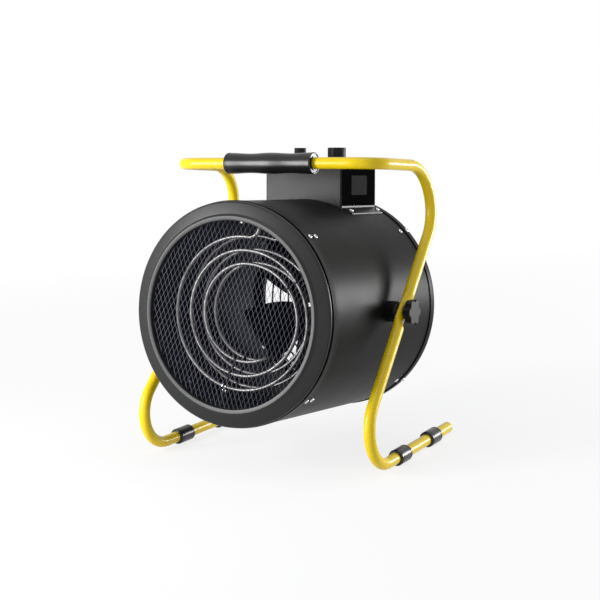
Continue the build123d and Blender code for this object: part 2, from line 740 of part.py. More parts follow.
def leg_path(leg):
    """One leg from the hairpin's bend out to the end of its lead."""
    angle, depth = lead_place(leg)
    turns = leg[2]
    stops = [0.25 * n for n in range(1, int(turns / 0.25) + 1)] + [turns]
    place, way = loop_point(leg, 0), sideways(HAIRPIN_ANGLE)
    edges = []
    for stop in stops:
        target, target_way = loop_point(leg, stop), loop_tangent(leg, stop)
        edges += biarc(place, way, target, target_way)
        place, way = target, target_way
    bend_end = around(angle, math.hypot(*lead_bend()), depth)
    edges.append(TangentArc(place, bend_end, tangent=way))
    edges.append(Line(bend_end, around(angle, LEAD_END_RADIUS, depth)))
    return edges


def element_path():
    front, rear = LEGS
    start, end = loop_point(front, 0), loop_point(rear, 0)
    side = sideways(HAIRPIN_ANGLE)
    top = (start + end) * 0.5 - side * ((end - start).length / 2)
    bend = [TangentArc(start, top, tangent=-side), TangentArc(top, end, tangent=Vector(0, 1, 0))]
    return Wire(leg_path(front) + bend + leg_path(rear))


def make_heating_element():
    path = element_path()
    section = Plane(origin=path @ 0, z_dir=path % 0) * Circle(ELEMENT_RADIUS)
    body = sweep(section, path=path)
    report_gap(path, body)
    return body


def report_gap(path, body):
    """Prints the least gap of the element to itself, on points along it."""
    count = 800
    points = [path @ (n / count) for n in range(count + 1)]
    away = 16
    least = min(
        (points[i] - points[j]).length
        for i in range(count + 1) for j in range(i + away, count + 1)
    )
    whole = math.pi * ELEMENT_RADIUS ** 2 * path.length
    print("element length", round(path.length, 1), "gap to itself",
          round(least - ELEMENT_DIAMETER, 2), "volume share", round(body.volume / whole, 4))


def support_span():
    """Front depth and rear depth of the supports."""
    return FRONT_LEG_DEPTH - SUPPORT_MARGIN, REAR_LEG_INNER_DEPTH + SUPPORT_MARGIN


def support_foot_shift():
    """Angle from a support's bars to the middle of its foot."""
    return math.degrees((SUPPORT_FOOT + SUPPORT_SHEET) / 2 / LINER_RADIUS)


def support_screw_places():
    start, end = support_span()
    return [(angle - support_foot_shift(), depth)
            for angle in SUPPORT_ANGLES for depth in (start + SUPPORT_FOOT, end - SUPPORT_FOOT)]


def crossing_turn(angle, leg, loop):
    """The turn at which a leg's loop passes an angle, or none."""
    turn = ((angle - HAIRPIN_ANGLE) % 360) / 360 + loop
    return turn if turn <= leg[2] else None


def support_bar(angle, leg, high):
    """The eyes and bars that carry one leg, out to the foot, and the holes for its loops."""
    side = sideways(angle)
    turns = [crossing_turn(angle, leg, loop) for loop in range(ELEMENT_LOOPS + 1)]
    places = sorted(loop_place(leg, turn) for turn in turns if turn is not None)
    places.append((high, places[-1][1]))
    bars, holes = [], []
    for radius, depth in places[:-1]:
        eye_place = Plane(origin=around(angle, radius, depth), z_dir=side)
        bars.append(extrude(eye_place * Circle(SUPPORT_EYE_RADIUS), SUPPORT_SHEET / 2, both=True))
        holes.append(extrude(eye_place * Circle(ELEMENT_RADIUS + 1.0), 5, both=True))
    for (low_radius, low_depth), (radius, depth) in zip(places, places[1:]):
        start, end = around(angle, low_radius, low_depth), around(angle, radius, depth)
        bar_place = Plane(origin=(start + end) * 0.5, x_dir=end - start, z_dir=side)
        bar = bar_place * Rectangle((end - start).length, SUPPORT_BAR_WIDTH)
        bars.append(extrude(bar, SUPPORT_SHEET / 2, both=True))
    return bars, holes


def make_element_supports():
    """Slim bars that carry each loop in an eye, on a foot along the liner."""
    start, end = support_span()
    high = LINER_RADIUS - SEAT
    middle = (start + end) / 2
    supports = []
    for angle in SUPPORT_ANGLES:
        side = sideways(angle)
        foot_middle = around(angle, high - 1.5, middle) - side * (SUPPORT_FOOT / 2)
        foot_place = Plane(origin=foot_middle, x_dir=(0, 1, 0), z_dir=outward(angle))
        body = foot_place * Box(end - start - 8, SUPPORT_FOOT + SUPPORT_SHEET, 3)
        holes = []
        for leg in LEGS:
            bars, loop_holes = support_bar(angle, leg, high)
            body = body.fuse(*bars)
            holes += loop_holes
        body = body & pipe(high, start - 5, end + 5)
        for screw_angle, depth in support_screw_places():
            holes.append(radial_rod(screw_angle, high - 8, depth, SMALL_SHANK_RADIUS + SNUG, 16))
        supports.append(body - holes)
    return group(supports)


def make_support_screws():
    surface = LINER_RADIUS - SEAT - 3 - SNUG
    return group(inner_screw(angle, depth, surface, 7.5) for angle, depth in support_screw_places())


def make_element_ferrules():
    ferrules = []
    for leg in LEGS:
        place = radial_plane(lead_place(leg)[0], LINER_OUTSIDE + SEAT, leg[0])
        nut = extrude(place * (RegularPolygon(7.0, 6) - Circle(ELEMENT_RADIUS + SNUG)), 4.0)
        ferrules.append(nut)
    return group(ferrules)


def make_terminal_pins():
    """Ceramic-collared pins on the ends of the elements."""
    pins = []
    for leg in LEGS:
        angle, depth = lead_place(leg)
        start = LEAD_END_RADIUS + SNUG
        collar = radial_rod(angle, start, depth, 4.2, 5.0)
        pin = radial_rod(angle, start, depth, 2.0, 13.0)
        pins.append(collar + pin)
    return group(pins)


# ================================================================ fan and motor
def blade_section(radius, width, pitch):
    """A blade's cross-section at a radius, pitched against the fan's plane."""
    return Plane.XY.offset(radius) * (Rot(0, 0, -pitch) * Rectangle(width, BLADE_SHEET))


def make_impeller():
    start, end = HUB_DEPTH, HUB_DEPTH + HUB_LENGTH
    hub = pipe(HUB_RADIUS, start, end)
    hub = fillet(hub.faces().sort_by(Axis.Y)[0].edges(), 7.0)
    middle = HUB_DEPTH + HUB_LENGTH / 2
    blades = []
    for n in range(BLADE_COUNT):
        blade = loft([blade_section(*row) for row in BLADE_SECTIONS])
        blade = Rot(0, 360 / BLADE_COUNT * n + BLADE_START, 0) * blade
        blades.append(Pos(0, middle - PIVOT_DEPTH, 0) * blade)
    blades = [blade & pipe(BLADE_RADIUS, start - 40, end + 40) for blade in blades]
    body = hub.fuse(*blades)
    return body - pipe(SHAFT_RADIUS + SNUG, start - 5, end + 5)


def make_motor_shaft():
    return pipe(SHAFT_RADIUS, SHAFT_START, SHAFT_END)


def bearing_depths():
    return (MOTOR_START + 4, SHAFT_END - BEARING_LENGTH - 2)


def make_motor_body():
    end = MOTOR_START + MOTOR_LENGTH
    body = pipe(MOTOR_RADIUS, MOTOR_START, end)
    body = fillet(body.faces().sort_by(Axis.Y)[-1].edges(), 5.0)
    nose = pipe(MOTOR_NOSE_RADIUS, MOTOR_START - MOTOR_NOSE_LENGTH, MOTOR_START)
    body += nose
    rib_cuts = [
        tube(MOTOR_RADIUS + 2, MOTOR_RADIUS - 2.5, MOTOR_START + rib, MOTOR_START + rib + 3)
        for rib in MOTOR_RIB_DEPTHS
    ]
    bores = [pipe(SHAFT_RADIUS + 1.0, MOTOR_START - 8, SHAFT_END + 1)]
    bores += [pipe(BEARING_RADIUS + SNUG, d - SNUG, d + BEARING_LENGTH + SNUG) for d in bearing_depths()]
    holes = [
        Pos(*around(angle, MOTOR_SCREW_CIRCLE, BRACKET_DEPTH)) * Rot(-90, 0, 0) * Cylinder(2.0 + SNUG, 24)
        for angle in motor_screw_angles()
    ]
    return body - rib_cuts - bores - holes


def motor_screw_angles():
    return [0, 90, 180, 270]


def make_motor_bearings():
    return group(
        tube(BEARING_RADIUS, SHAFT_RADIUS + RUNNING, depth, depth + BEARING_LENGTH)
        for depth in bearing_depths()
    )


def arm_angles():
    return [45 + 360 / BRACKET_ARMS * n for n in range(BRACKET_ARMS)]


def arm_screw_places():
    return [(angle, BRACKET_DEPTH - BRACKET_SCREW_SETBACK) for angle in arm_angles()]


def make_motor_bracket():
    reach = LINER_RADIUS - SEAT
    bore = MOTOR_NOSE_RADIUS + SEAT
    body = tube(BRACKET_RING_RADIUS, bore, BRACKET_DEPTH, BRACKET_DEPTH + BRACKET_SHEET)
    for angle in arm_angles():
        place = Plane(origin=around(angle, 0, BRACKET_DEPTH), x_dir=sideways(angle), z_dir=(0, 1, 0))
        up = 1 if place.y_dir.dot(outward(angle)) > 0 else -1
        length = reach - BRACKET_RING_RADIUS + 8
        arm = place * Pos(0, up * (reach - length / 2)) * Rectangle(BRACKET_ARM_WIDTH, length)
        body += extrude(arm, BRACKET_SHEET)
        foot = place * Pos(0, up * (reach - 1.0)) * Rectangle(BRACKET_ARM_WIDTH, BRACKET_FOOT_SHEET)
        body += extrude(foot, -BRACKET_FOOT)
    body &= pipe(reach, BRACKET_DEPTH - 40, BRACKET_DEPTH + 10)
    holes = [radial_rod(a, reach - 10, d, SMALL_SHANK_RADIUS + SNUG, 14) for a, d in arm_screw_places()]
    holes += [
        Pos(*around(angle, MOTOR_SCREW_CIRCLE, BRACKET_DEPTH)) * Rot(-90, 0, 0) * Cylinder(2.0 + SEAT, 12)
        for angle in motor_screw_angles()
    ]
    return body - holes


def make_bracket_screws():
    surface = LINER_RADIUS - SEAT - BRACKET_FOOT_SHEET
    return group(inner_screw(angle, depth, surface, 7.0) for angle, depth in arm_screw_places())


def make_motor_screws():
    screws = []
    for angle in motor_screw_angles():
        place = Plane(origin=around(angle, MOTOR_SCREW_CIRCLE, BRACKET_DEPTH - SNUG), z_dir=(0, -1, 0))
        screws.append(extrude(place * Circle(3.6), 2.6) + extrude(place * Circle(2.0), -11))
    return group(screws)


def make_rear_guard():
    """Wire rings on spokes, seated against the rear ring's flange."""
    wire, rim = GUARD_WIRE_RADIUS, GUARD_RIM_RADIUS
    plane_depth = DRUM_DEPTH - CAP_RING_WALL - SEAT - rim
    ring_radii = [GUARD_FIRST_RING + GUARD_PITCH * n for n in range(GUARD_RINGS)]
    rim_radius = CASING_BORE - SEAT - rim - GUARD_RIM_GAP
    rings = [ring_wire(radius, wire, plane_depth) for radius in ring_radii]
    spokes = []
    for n in range(GUARD_SPOKES):
        angle = 360 / GUARD_SPOKES * (n + 0.5)
        spokes.append(radial_rod(angle, ring_radii[0], plane_depth - 1.0, wire, rim_radius - ring_radii[0]))
    return ring_wire(rim_radius, rim, plane_depth).fuse(*rings, *spokes)


def ring_wire(radius, wire, depth):
    place = Plane(origin=(radius, depth - PIVOT_DEPTH, 0), z_dir=(0, 0, 1))
    return revolve(place * Circle(wire), Axis.Y)


# ================================================================ control box
def make_control_box():
    base = CASING_RADIUS + SEAT
    low = 150.0
    outside = block(-BOX_HALF, BOX_HALF, BOX_FRONT, BOX_END, low, BOX_TOP)
    outside = fillet(outside.edges().filter_by(Axis.Z), BOX_CORNER)
    outside = fillet(outside.faces().sort_by(Axis.Z)[-1].edges(), 1.5)
    w = BOX_WALL
    inside = block(-BOX_HALF + w, BOX_HALF - w, BOX_FRONT + w, BOX_END - w, low - 1, BOX_TOP - w)
    inside = fillet(inside.edges().filter_by(Axis.Z), BOX_CORNER - w)
    shell = outside - inside - pipe(base, BOX_FRONT - 5, BOX_END + 5)
    start, end = BOX_FRONT + FLANGE_MARGIN, BOX_END - FLANGE_MARGIN
    wings = tube(base + w, base, start, end)
    keep = block(BOX_HALF - w, FLANGE_REACH, start, end, 100, BOX_TOP)
    for wing in both_sides(wings & keep):
        shell += wing
    cuts = []
    for side in (-1, 1):
        for depth in BOX_SCREW_DEPTHS:
            cuts.append(radial_rod(side * BOX_SCREW_ANGLE, base - 4, depth, SCREW_SHANK_RADIUS + SNUG, 10))
    for x in (BIG_KNOB_X, SMALL_KNOB_X):
        cuts.append(upright(x, KNOB_DEPTH, SPINDLE_RADIUS + 1.0, BOX_TOP - 10, BOX_TOP + 5))
    cuts.append(gland_rod(GLAND_THREAD_RADIUS + SNUG, BOX_END - 10, BOX_END + 10))
    return shell - cuts


def upright(x, depth, radius, low, high):
    """A cylinder standing square to the box's top."""
    return Pos(x, depth - PIVOT_DEPTH, low) * Cylinder(
        radius, high - low, align=(Align.CENTER, Align.CENTER, Align.MIN))


def gland_rod(radius, start, end):
    place = Plane(origin=(0, start - PIVOT_DEPTH, GLAND_HEIGHT), z_dir=(0, 1, 0))
    return extrude(place * Circle(radius), end - start)


def gland_hex(across_radius, start, end):
    place = Plane(origin=(0, start - PIVOT_DEPTH, GLAND_HEIGHT), z_dir=(0, 1, 0))
    return extrude(place * RegularPolygon(across_radius, 6), end - start)


def make_control_panel():
    """Thin dial plate on the box's top, with a hole for each spindle."""
    inset = PANEL_MARGIN
    plate = block(-BOX_HALF + inset, BOX_HALF - inset, BOX_FRONT + inset, BOX_END - inset,
                  BOX_TOP + SNUG, PANEL_TOP)
    plate = fillet(plate.edges().filter_by(Axis.Z), 4.0)
    holes = [upright(x, KNOB_DEPTH, SPINDLE_RADIUS + 1.0, BOX_TOP - 2, BOX_TOP + 5)
             for x in (BIG_KNOB_X, SMALL_KNOB_X)]
    return plate - holes


def make_knob(x, radius, ribs):
    """A fluted knob with a pointer line, bored for its spindle."""
    skirt = 2.2
    body = upright(x, KNOB_DEPTH, radius, KNOB_BASE, KNOB_TOP)
    top = body.faces().sort_by(Axis.Z)[-1].edges()
    body = fillet(top, 1.2)
    flutes = [
        Pos(x, KNOB_DEPTH - PIVOT_DEPTH, 0) * Rot(0, 0, 360 / ribs * (n + 0.5))
        * Pos(radius + 0.5, 0, KNOB_BASE + skirt) * Cylinder(
            1.1, KNOB_HEIGHT, align=(Align.CENTER, Align.CENTER, Align.MIN))
        for n in range(ribs)
    ]
    pointer = block(x - 0.7, x + 0.7, KNOB_DEPTH - radius, KNOB_DEPTH - 2, KNOB_TOP - 0.8, KNOB_TOP + 1)
    bore = upright(x, KNOB_DEPTH, SPINDLE_RADIUS + SNUG, KNOB_BASE - 1, KNOB_TOP - 4)
    return body - flutes - pointer - bore


def make_spindle(x, body_height):
    return upright(x, KNOB_DEPTH, SPINDLE_RADIUS, BOX_TOP - BOX_WALL - body_height + 4, KNOB_TOP - 4.5)


def switch_block(x, half_x, half_y, height):
    """A control under the box's top, bored for its spindle."""
    top = BOX_TOP - BOX_WALL - SEAT
    body = block(x - half_x, x + half_x, KNOB_DEPTH - half_y, KNOB_DEPTH + half_y, top - height, top)
    body = fillet(body.edges().filter_by(Axis.Z), 3.0)
    return body - upright(x, KNOB_DEPTH, SPINDLE_RADIUS + RUNNING, top - height + 3, top + 2)


def make_room_thermostat():
    return switch_block(BIG_KNOB_X, 17, 17, THERMOSTAT_HEIGHT)


def make_selector_switch():
    return switch_block(SMALL_KNOB_X, 15, 15, SWITCH_HEIGHT)


def make_terminal_block():
    """Row of screw terminals on the casing inside the box."""
    base = CASING_RADIUS + SEAT
    depth = BOX_FRONT + 22
    top = base + TERMINAL_HEIGHT
    body = block(-TERMINAL_HALF_WIDTH, TERMINAL_HALF_WIDTH, depth - TERMINAL_HALF_DEPTH,
                 depth + TERMINAL_HALF_DEPTH, base, top)
    middles = [TERMINAL_PITCH * n for n in range(-2, 3)]
    wells = [block(x - 3, x + 3, depth - 6, depth + 6, top - 8, top + 2) for x in middles]
    return body - wells


def make_thermal_cutout():
    """Overheat cutout on the outside of the liner."""
    base = LINER_OUTSIDE + SEAT
    place = radial_plane(CUTOUT_ANGLE, base, CUTOUT_DEPTH)
    body = extrude(place * Circle(CUTOUT_RADIUS), 7.0) + extrude(place * Rectangle(24, 8), 1.0)
    return body + extrude(place * Circle(5.0), 11.0)


def make_cable_gland():
    start = BOX_END + SNUG
    shell = gland_hex(GLAND_HEX_RADIUS, start, start + 6) + gland_rod(GLAND_RADIUS, start + 6, start + 9)
    shell += gland_hex(GLAND_NUT_RADIUS, start + 9, start + 19)
    dome = gland_rod(GLAND_DOME_RADIUS, start + 19, start + 26)
    dome = fillet(dome.faces().sort_by(Axis.Y)[-1].edges(), 4.0)
    thread = gland_rod(GLAND_THREAD_RADIUS, start - 10, start)
    return shell + dome + thread - gland_rod(GLAND_BORE, start - 12, start + 30)


def make_gland_locknut():
    end = BOX_END - BOX_WALL - SNUG
    nut = gland_hex(LOCKNUT_RADIUS, end - LOCKNUT_LENGTH, end)
    return nut - gland_rod(GLAND_THREAD_RADIUS + SNUG, end - LOCKNUT_LENGTH - 1, end + 1)


def make_wire_grommet():
    """Rubber bush where the wires pass from the box into the casing."""
    outer = 15.0
    low, high = CASING_BORE - 2.5, CASING_RADIUS + 2.5
    shape = upright(0, KNOB_DEPTH, outer, low, high)
    groove = upright(0, KNOB_DEPTH, outer + 1, CASING_BORE - 0.9, CASING_RADIUS + 0.2)
    groove -= upright(0, KNOB_DEPTH, WIRE_HOLE_RADIUS - SNUG, CASING_BORE - 0.9, CASING_RADIUS + 0.2)
    return shape - groove - upright(0, KNOB_DEPTH, 8.0, low - 1, high + 1)


# ================================================================ pivot and clamps
def flat_inner_x():
    return ARM_SPREAD - FLAT_INSET - FLAT_THICKNESS / 2


def flat_outer_x():
    return ARM_SPREAD - FLAT_INSET + FLAT_THICKNESS / 2


def side_rod(radius, start, end):
    return extrude(Plane.YZ.offset(start) * Circle(radius), end - start)


def make_pivot_bosses():
    end = flat_inner_x() - SEAT - WASHER_THICKNESS - SNUG
    boss = side_rod(BOSS_RADIUS, CASING_RADIUS - 8, end) - pipe(CASING_RADIUS + SNUG, 100, 300)
    boss = chamfer(boss.faces().sort_by(Axis.X)[-1].edges(), 1.5)
    boss -= side_rod(STUD_RADIUS + RUNNING, CASING_RADIUS - 10, end + 5)
    return group(both_sides(boss))


def make_friction_washers():
    end = flat_inner_x() - SEAT
    washer = side_rod(BOSS_RADIUS - 3, end - WASHER_THICKNESS, end)
    washer -= side_rod(STUD_RADIUS + RUNNING, end - WASHER_THICKNESS - 1, end + 1)
    return group(both_sides(washer))


def star_outline():
    """Lobed outline of the clamp knob."""
    outline = Circle(STAR_RADIUS)
    notch = STAR_RADIUS * 0.34
    for n in range(STAR_LOBES):
        angle = 360 / STAR_LOBES * (n + 0.5)
        outline -= Rot(0, 0, angle) * Pos(STAR_RADIUS + notch * 0.45, 0) * Circle(notch)
    return outline


def make_clamp_knob():
    start = flat_outer_x() + SEAT
    hub = side_rod(STAR_HUB_RADIUS, start, start + STAR_HUB_LENGTH)
    star_start = start + STAR_HUB_LENGTH
    star = extrude(Plane.YZ.offset(star_start) * star_outline(), STAR_THICKNESS)
    star = fillet(star.faces().sort_by(Axis.X)[-1].edges(), 1.5)
    body = hub + star
    return body - side_rod(STUD_RADIUS + SNUG, start - 1, star_start + STAR_THICKNESS - 4)


def make_clamp_stud():
    start = CASING_RADIUS - 6
    end = flat_outer_x() + SEAT + STAR_HUB_LENGTH + STAR_THICKNESS - 4.5
    return side_rod(STUD_RADIUS, start, end)


# ================================================================ assembly
def in_drum(shape):
    """Tips a piece of the drum nose up about the pivot."""
    return Rot(-DRUM_TILT, 0, 0) * shape


def build_pieces():
    pieces = {
        "stand_tube": make_stand_tube(),
        "handle_grip": make_handle_grip(),
        "foot_sleeves": make_foot_sleeves(),
        "tube_end_caps": make_tube_end_caps(),
    }
    drum = {
        "front_ring": make_front_ring(),
        "front_grille": make_front_grille(),
        "drum_casing": make_drum_casing(),
        "rear_ring": make_rear_ring(),
        "rear_guard": make_rear_guard(),
        "inner_liner": make_inner_liner(),
        "liner_brackets": make_liner_brackets(),
        "liner_screws": make_liner_screws(),
        "casing_screws": make_casing_screws(),
        "heating_element": make_heating_element(),
        "element_supports": make_element_supports(),
        "support_screws": make_support_screws(),
        "element_ferrules": make_element_ferrules(),
        "terminal_pins": make_terminal_pins(),
        "thermal_cutout": make_thermal_cutout(),
        "motor_bracket": make_motor_bracket(),
        "bracket_screws": make_bracket_screws(),
        "motor_body": make_motor_body(),
        "motor_screws": make_motor_screws(),
        "motor_bearings": make_motor_bearings(),
        "motor_shaft": make_motor_shaft(),
        "fan_impeller": make_impeller(),
        "control_box": make_control_box(),
        "control_panel": make_control_panel(),
        "box_screws": make_box_screws(),
        "thermostat_knob": make_knob(BIG_KNOB_X, BIG_KNOB_RADIUS, 20),
        "thermostat_spindle": make_spindle(BIG_KNOB_X, THERMOSTAT_HEIGHT),
        "room_thermostat": make_room_thermostat(),
        "selector_knob": make_knob(SMALL_KNOB_X, SMALL_KNOB_RADIUS, 14),
        "selector_spindle": make_spindle(SMALL_KNOB_X, SWITCH_HEIGHT),
        "selector_switch": make_selector_switch(),
        "terminal_block": make_terminal_block(),
        "cable_gland": make_cable_gland(),
        "gland_locknut": make_gland_locknut(),
        "wire_grommet": make_wire_grommet(),
        "pivot_bosses": make_pivot_bosses(),
        "friction_washers": make_friction_washers(),
    }
    right_knob, left_knob = both_sides(make_clamp_knob())
    right_stud, left_stud = both_sides(make_clamp_stud())
    drum.update({
        "clamp_knob_right": right_knob,
        "clamp_knob_left": left_knob,
        "clamp_stud_right": right_stud,
        "clamp_stud_left": left_stud,
    })
    pieces.update({name: in_drum(shape) for name, shape in drum.items()})
    return pieces


pieces = build_pieces()
boxes = [shape.bounding_box() for shape in pieces.values()]
front = min(box.min.Y for box in boxes)
back = max(box.max.Y for box in boxes)
floor = min(box.min.Z for box in boxes)
origin = Vector(0, (front + back) / 2, floor)
print("pivot in the part's frame", [round(-v, 3) for v in origin])
for name, shape in pieces.items():
    export_step(Pos(*(-origin)) * shape, f"parts/{name}.step")
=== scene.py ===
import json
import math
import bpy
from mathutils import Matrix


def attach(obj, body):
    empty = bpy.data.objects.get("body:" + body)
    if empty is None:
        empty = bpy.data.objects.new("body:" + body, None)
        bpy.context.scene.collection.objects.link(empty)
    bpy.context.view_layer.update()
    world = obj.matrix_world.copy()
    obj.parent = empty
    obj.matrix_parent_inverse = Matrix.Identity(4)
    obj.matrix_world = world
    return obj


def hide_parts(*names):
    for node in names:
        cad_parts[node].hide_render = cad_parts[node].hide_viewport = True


bl_info = {
    "name": "Forced Air Heater",
    "version": (1, 0, 0),
    "blender": (4, 5, 0),
    "location": "View3D > Sidebar > Heater",
    "description": "Dresses a drum-shaped fan heater that tilts in a bent tube stand",
    "category": "Object",
}

import bmesh
import bpy
from mathutils import Matrix, Vector

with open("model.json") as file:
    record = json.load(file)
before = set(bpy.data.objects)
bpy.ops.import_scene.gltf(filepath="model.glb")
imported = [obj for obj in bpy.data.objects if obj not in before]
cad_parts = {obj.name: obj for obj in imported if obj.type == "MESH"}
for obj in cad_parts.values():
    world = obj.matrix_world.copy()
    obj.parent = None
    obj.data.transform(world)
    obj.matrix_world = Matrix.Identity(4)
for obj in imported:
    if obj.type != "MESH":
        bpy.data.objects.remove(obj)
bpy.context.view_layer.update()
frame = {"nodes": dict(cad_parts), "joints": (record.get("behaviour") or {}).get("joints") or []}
JOINTS = {joint["name"]: joint for joint in frame["joints"]}

# The drum's pieces are outlined by radius and by depth behind the outlet lip,
# then tipped nose up about the pivot. The stand's points are taken from the pivot.
PIVOT = Vector(JOINTS["drum_tilt"]["pos_m"])
TILT = math.asin(-Vector(JOINTS["fan_spin"]["axis"]).normalized().z)
PIVOT_DEPTH = 0.205
DRUM = Matrix.Translation(PIVOT) @ Matrix.Rotation(-TILT, 4, "X")
STAND = Matrix.Translation(PIVOT)


# ------------------------------------------------------------------ properties
def length(name, description, default):
    return bpy.props.FloatProperty(
        name=name, description=description, default=default, min=0.0, unit="LENGTH", precision=4
    )


def colour(name, description, default):
    return bpy.props.FloatVectorProperty(
        name=name, description=description, default=default, size=3, min=0.0, max=1.0, subtype="COLOR"
    )


class HeaterSizes(bpy.types.PropertyGroup):
    """Sizes that a user would change."""

    tube_radius: length("Tube radius", "Radius of the stand's bent tube", 0.0095)
    sleeve_radius: length("Sleeve radius", "Radius of the sleeves on the feet", 0.0135)
    sleeve_length: length("Sleeve length", "Length of each sleeve on the feet", 0.040)
    grip_length: length("Grip length", "Length of the carrying grip", 0.164)
    casing_radius: length("Casing radius", "Outer radius of the drum", 0.180)
    drum_depth: length("Drum depth", "Length of the drum from lip to rear", 0.370)
    outlet_radius: length("Outlet radius", "Radius of the opening in the front ring", 0.1492)
    liner_radius: length("Liner radius", "Inner radius of the liner", 0.152)
    mesh_width: length("Mesh width", "Width of one diamond of the outlet mesh", 0.0086)
    mesh_height: length("Mesh height", "Height of one diamond of the outlet mesh", 0.0182)
    mesh_strand: length("Mesh strand", "Width of the mesh's strands", 0.0010)
    element_radius: length("Element radius", "Radius of the heating element's tube", 0.00325)


class HeaterColours(bpy.types.PropertyGroup):
    """Colours of the heater's finishes."""

    stand: colour("Stand", "Powder coat of the tube stand", (0.80, 0.575, 0.006))
    # The front ring takes a lighter copy of this colour, which paints light on it.
    casing: colour("Casing", "Powder coat of the drum and the front ring", (0.0060, 0.0062, 0.0066))
    box: colour("Box", "Powder coat of the control box", (0.012, 0.0122, 0.0125))
    grip: colour("Grip", "Moulded grip and sleeves", (0.006, 0.006, 0.0065))
    plastic: colour("Plastic", "Knobs, caps and gland", (0.008, 0.008, 0.0088))
    mesh: colour("Mesh", "Outlet mesh", (0.30, 0.307, 0.37))
    # The liner is coloured near black, far darker than its bare steel: painted shade for the drum's
    # dark inside.
    liner: colour("Liner", "Sheet of the inner liner", (0.022, 0.0225, 0.030))
    # Near black, so that the supports and brackets sink into the drum's dark inside: painted shade.
    dark_steel: colour("Dark steel", "Supports and bracket inside the drum", (0.012, 0.012, 0.014))
    element: colour("Element", "Sheath of the heating element", (0.25, 0.244, 0.24))
    zinc: colour("Zinc", "Plated screws and shafts", (0.72, 0.73, 0.74))
    # The blades' aluminium is coloured near black: painted shade for the fan deep inside the drum.
    aluminium: colour("Aluminium", "Fan blades", (0.016, 0.0165, 0.022))


class StageSettings(bpy.types.PropertyGroup):
    """Camera, floor and lamps."""

    lens: bpy.props.FloatProperty(
        name="Lens", description="Focal length of the camera on a 36 mm sensor", default=98.12, min=10.0
    )
    azimuth: bpy.props.FloatProperty(
        name="Azimuth", description="Turn of the camera from straight ahead",
        default=math.radians(30.53), subtype="ANGLE",
    )
    drop: bpy.props.FloatProperty(
        name="Drop", description="How far the camera looks down", default=math.radians(9.49),
        subtype="ANGLE",
    )
    roll: bpy.props.FloatProperty(
        name="Roll", description="Roll of the camera about its view", default=math.radians(-2.93),
        subtype="ANGLE",
    )
    place: bpy.props.FloatVectorProperty(
        name="Place", description="Where the camera stands", default=(1.3846, -2.3170, 0.7034),
        size=3, subtype="TRANSLATION", unit="LENGTH",
    )
    paper: colour("Paper", "Colour of the floor", (0.86, 0.86, 0.86))


# ------------------------------------------------------------------ mesh helpers
BEND_STEP = math.radians(4)
SHARP_ABOVE = math.radians(32)


def rounded(corners, steps=5):
    """An outline from (x, y, fillet radius) corners, with the round ones as arcs."""
    count = len(corners)
    points = []
    for index, (x, y, radius) in enumerate(corners):
        here = Vector((x, y))
        before = Vector(corners[index - 1][:2]) - here
        after = Vector(corners[(index + 1) % count][:2]) - here
        half = before.angle(after) / 2
        if radius <= 0 or abs(half - math.pi / 2) < 1e-3:
            points.append(here)
            continue
        reach = radius / math.tan(half)
        start = here + before.normalized() * reach
        end = here + after.normalized() * reach
        inwards = (before.normalized() + after.normalized()).normalized()
        centre = here + inwards * (radius / math.sin(half))
        sweep = (start - centre).angle_signed(end - centre)
        for step in range(steps + 1):
            turn = Matrix.Rotation(-sweep * step / steps, 2)
            points.append(centre + turn @ (start - centre))
    return points


def turned(bm, outline, steps):
    """Spins a closed outline of (radius, distance along the axis) about the Y axis."""
    verts = [bm.verts.new((radius, along, 0)) for radius, along in outline]
    edges = [bm.edges.new(pair) for pair in zip(verts, verts[1:] + verts[:1])]
    bmesh.ops.spin(
        bm, geom=verts + edges, cent=(0, 0, 0), axis=(0, 1, 0), dvec=(0, 0, 0),
        angle=math.tau, steps=steps, use_merge=True, use_duplicate=False,
    )
    bmesh.ops.remove_doubles(bm, verts=bm.verts, dist=1e-6)
    bmesh.ops.recalc_face_normals(bm, faces=bm.faces)


def drum_outline(corners):
    """A rounded outline whose second number is a depth behind the outlet lip."""
    return [(point.x, point.y - PIVOT_DEPTH) for point in rounded(corners)]


def mirrored(corners):
    """The same corners at the outline's other end, in the order that closes it."""
    return [(radius, -along, fillet) for radius, along, fillet in reversed(corners)]


def along_axis(origin, direction):
    """Places a shape that was turned about the Y axis along another direction."""
    turn = Vector((0, 1, 0)).rotation_difference(Vector(direction)).to_matrix().to_4x4()
    return Matrix.Translation(origin) @ turn


def moved(bm, matrix):
    bmesh.ops.transform(bm, matrix=matrix, verts=bm.verts)


def bent_line(corners, radii, spacing):
    """Points along straight runs joined by arcs, one radius for each inner corner."""
    points = [corners[0].copy()]
    for before, here, after, radius in zip(corners, corners[1:], corners[2:], radii):
        back = (before - here).normalized()
        ahead = (after - here).normalized()
        half = back.angle(ahead) / 2
        reach = radius / math.tan(half)
        centre = here + (back + ahead).normalized() * (radius / math.sin(half))
        start = here + back * reach
        add_run(points, start, spacing)
        axis = (start - centre).cross(here + ahead * reach - centre).normalized()
        total = math.pi - 2 * half
        count = max(2, math.ceil(total / BEND_STEP))
        for step in range(1, count + 1):
            turn = Matrix.Rotation(total * step / count, 3, axis)
            points.append(centre + turn @ (start - centre))
    add_run(points, corners[-1], spacing)
    return points


def add_run(points, end, spacing):
    """Adds evenly spaced points from the last one to an end."""
    start = points[-1].copy()
    count = max(1, math.ceil((end - start).length / spacing))
    points += [start.lerp(end, step / count) for step in range(1, count + 1)]


def line_places(points, first_side):
    """A place for each point of a line: Z runs along it, and X turns as little as it can."""
    places = []
    side = Vector(first_side)
    for index, point in enumerate(points):
        before = points[max(index - 1, 0)]
        after = points[min(index + 1, len(points) - 1)]
        ahead = (after - before).normalized()
        side = (side - ahead * side.dot(ahead)).normalized()
        across = ahead.cross(side)
        turn = Matrix((side, across, ahead)).transposed().to_4x4()
        places.append(Matrix.Translation(point) @ turn)
    return places


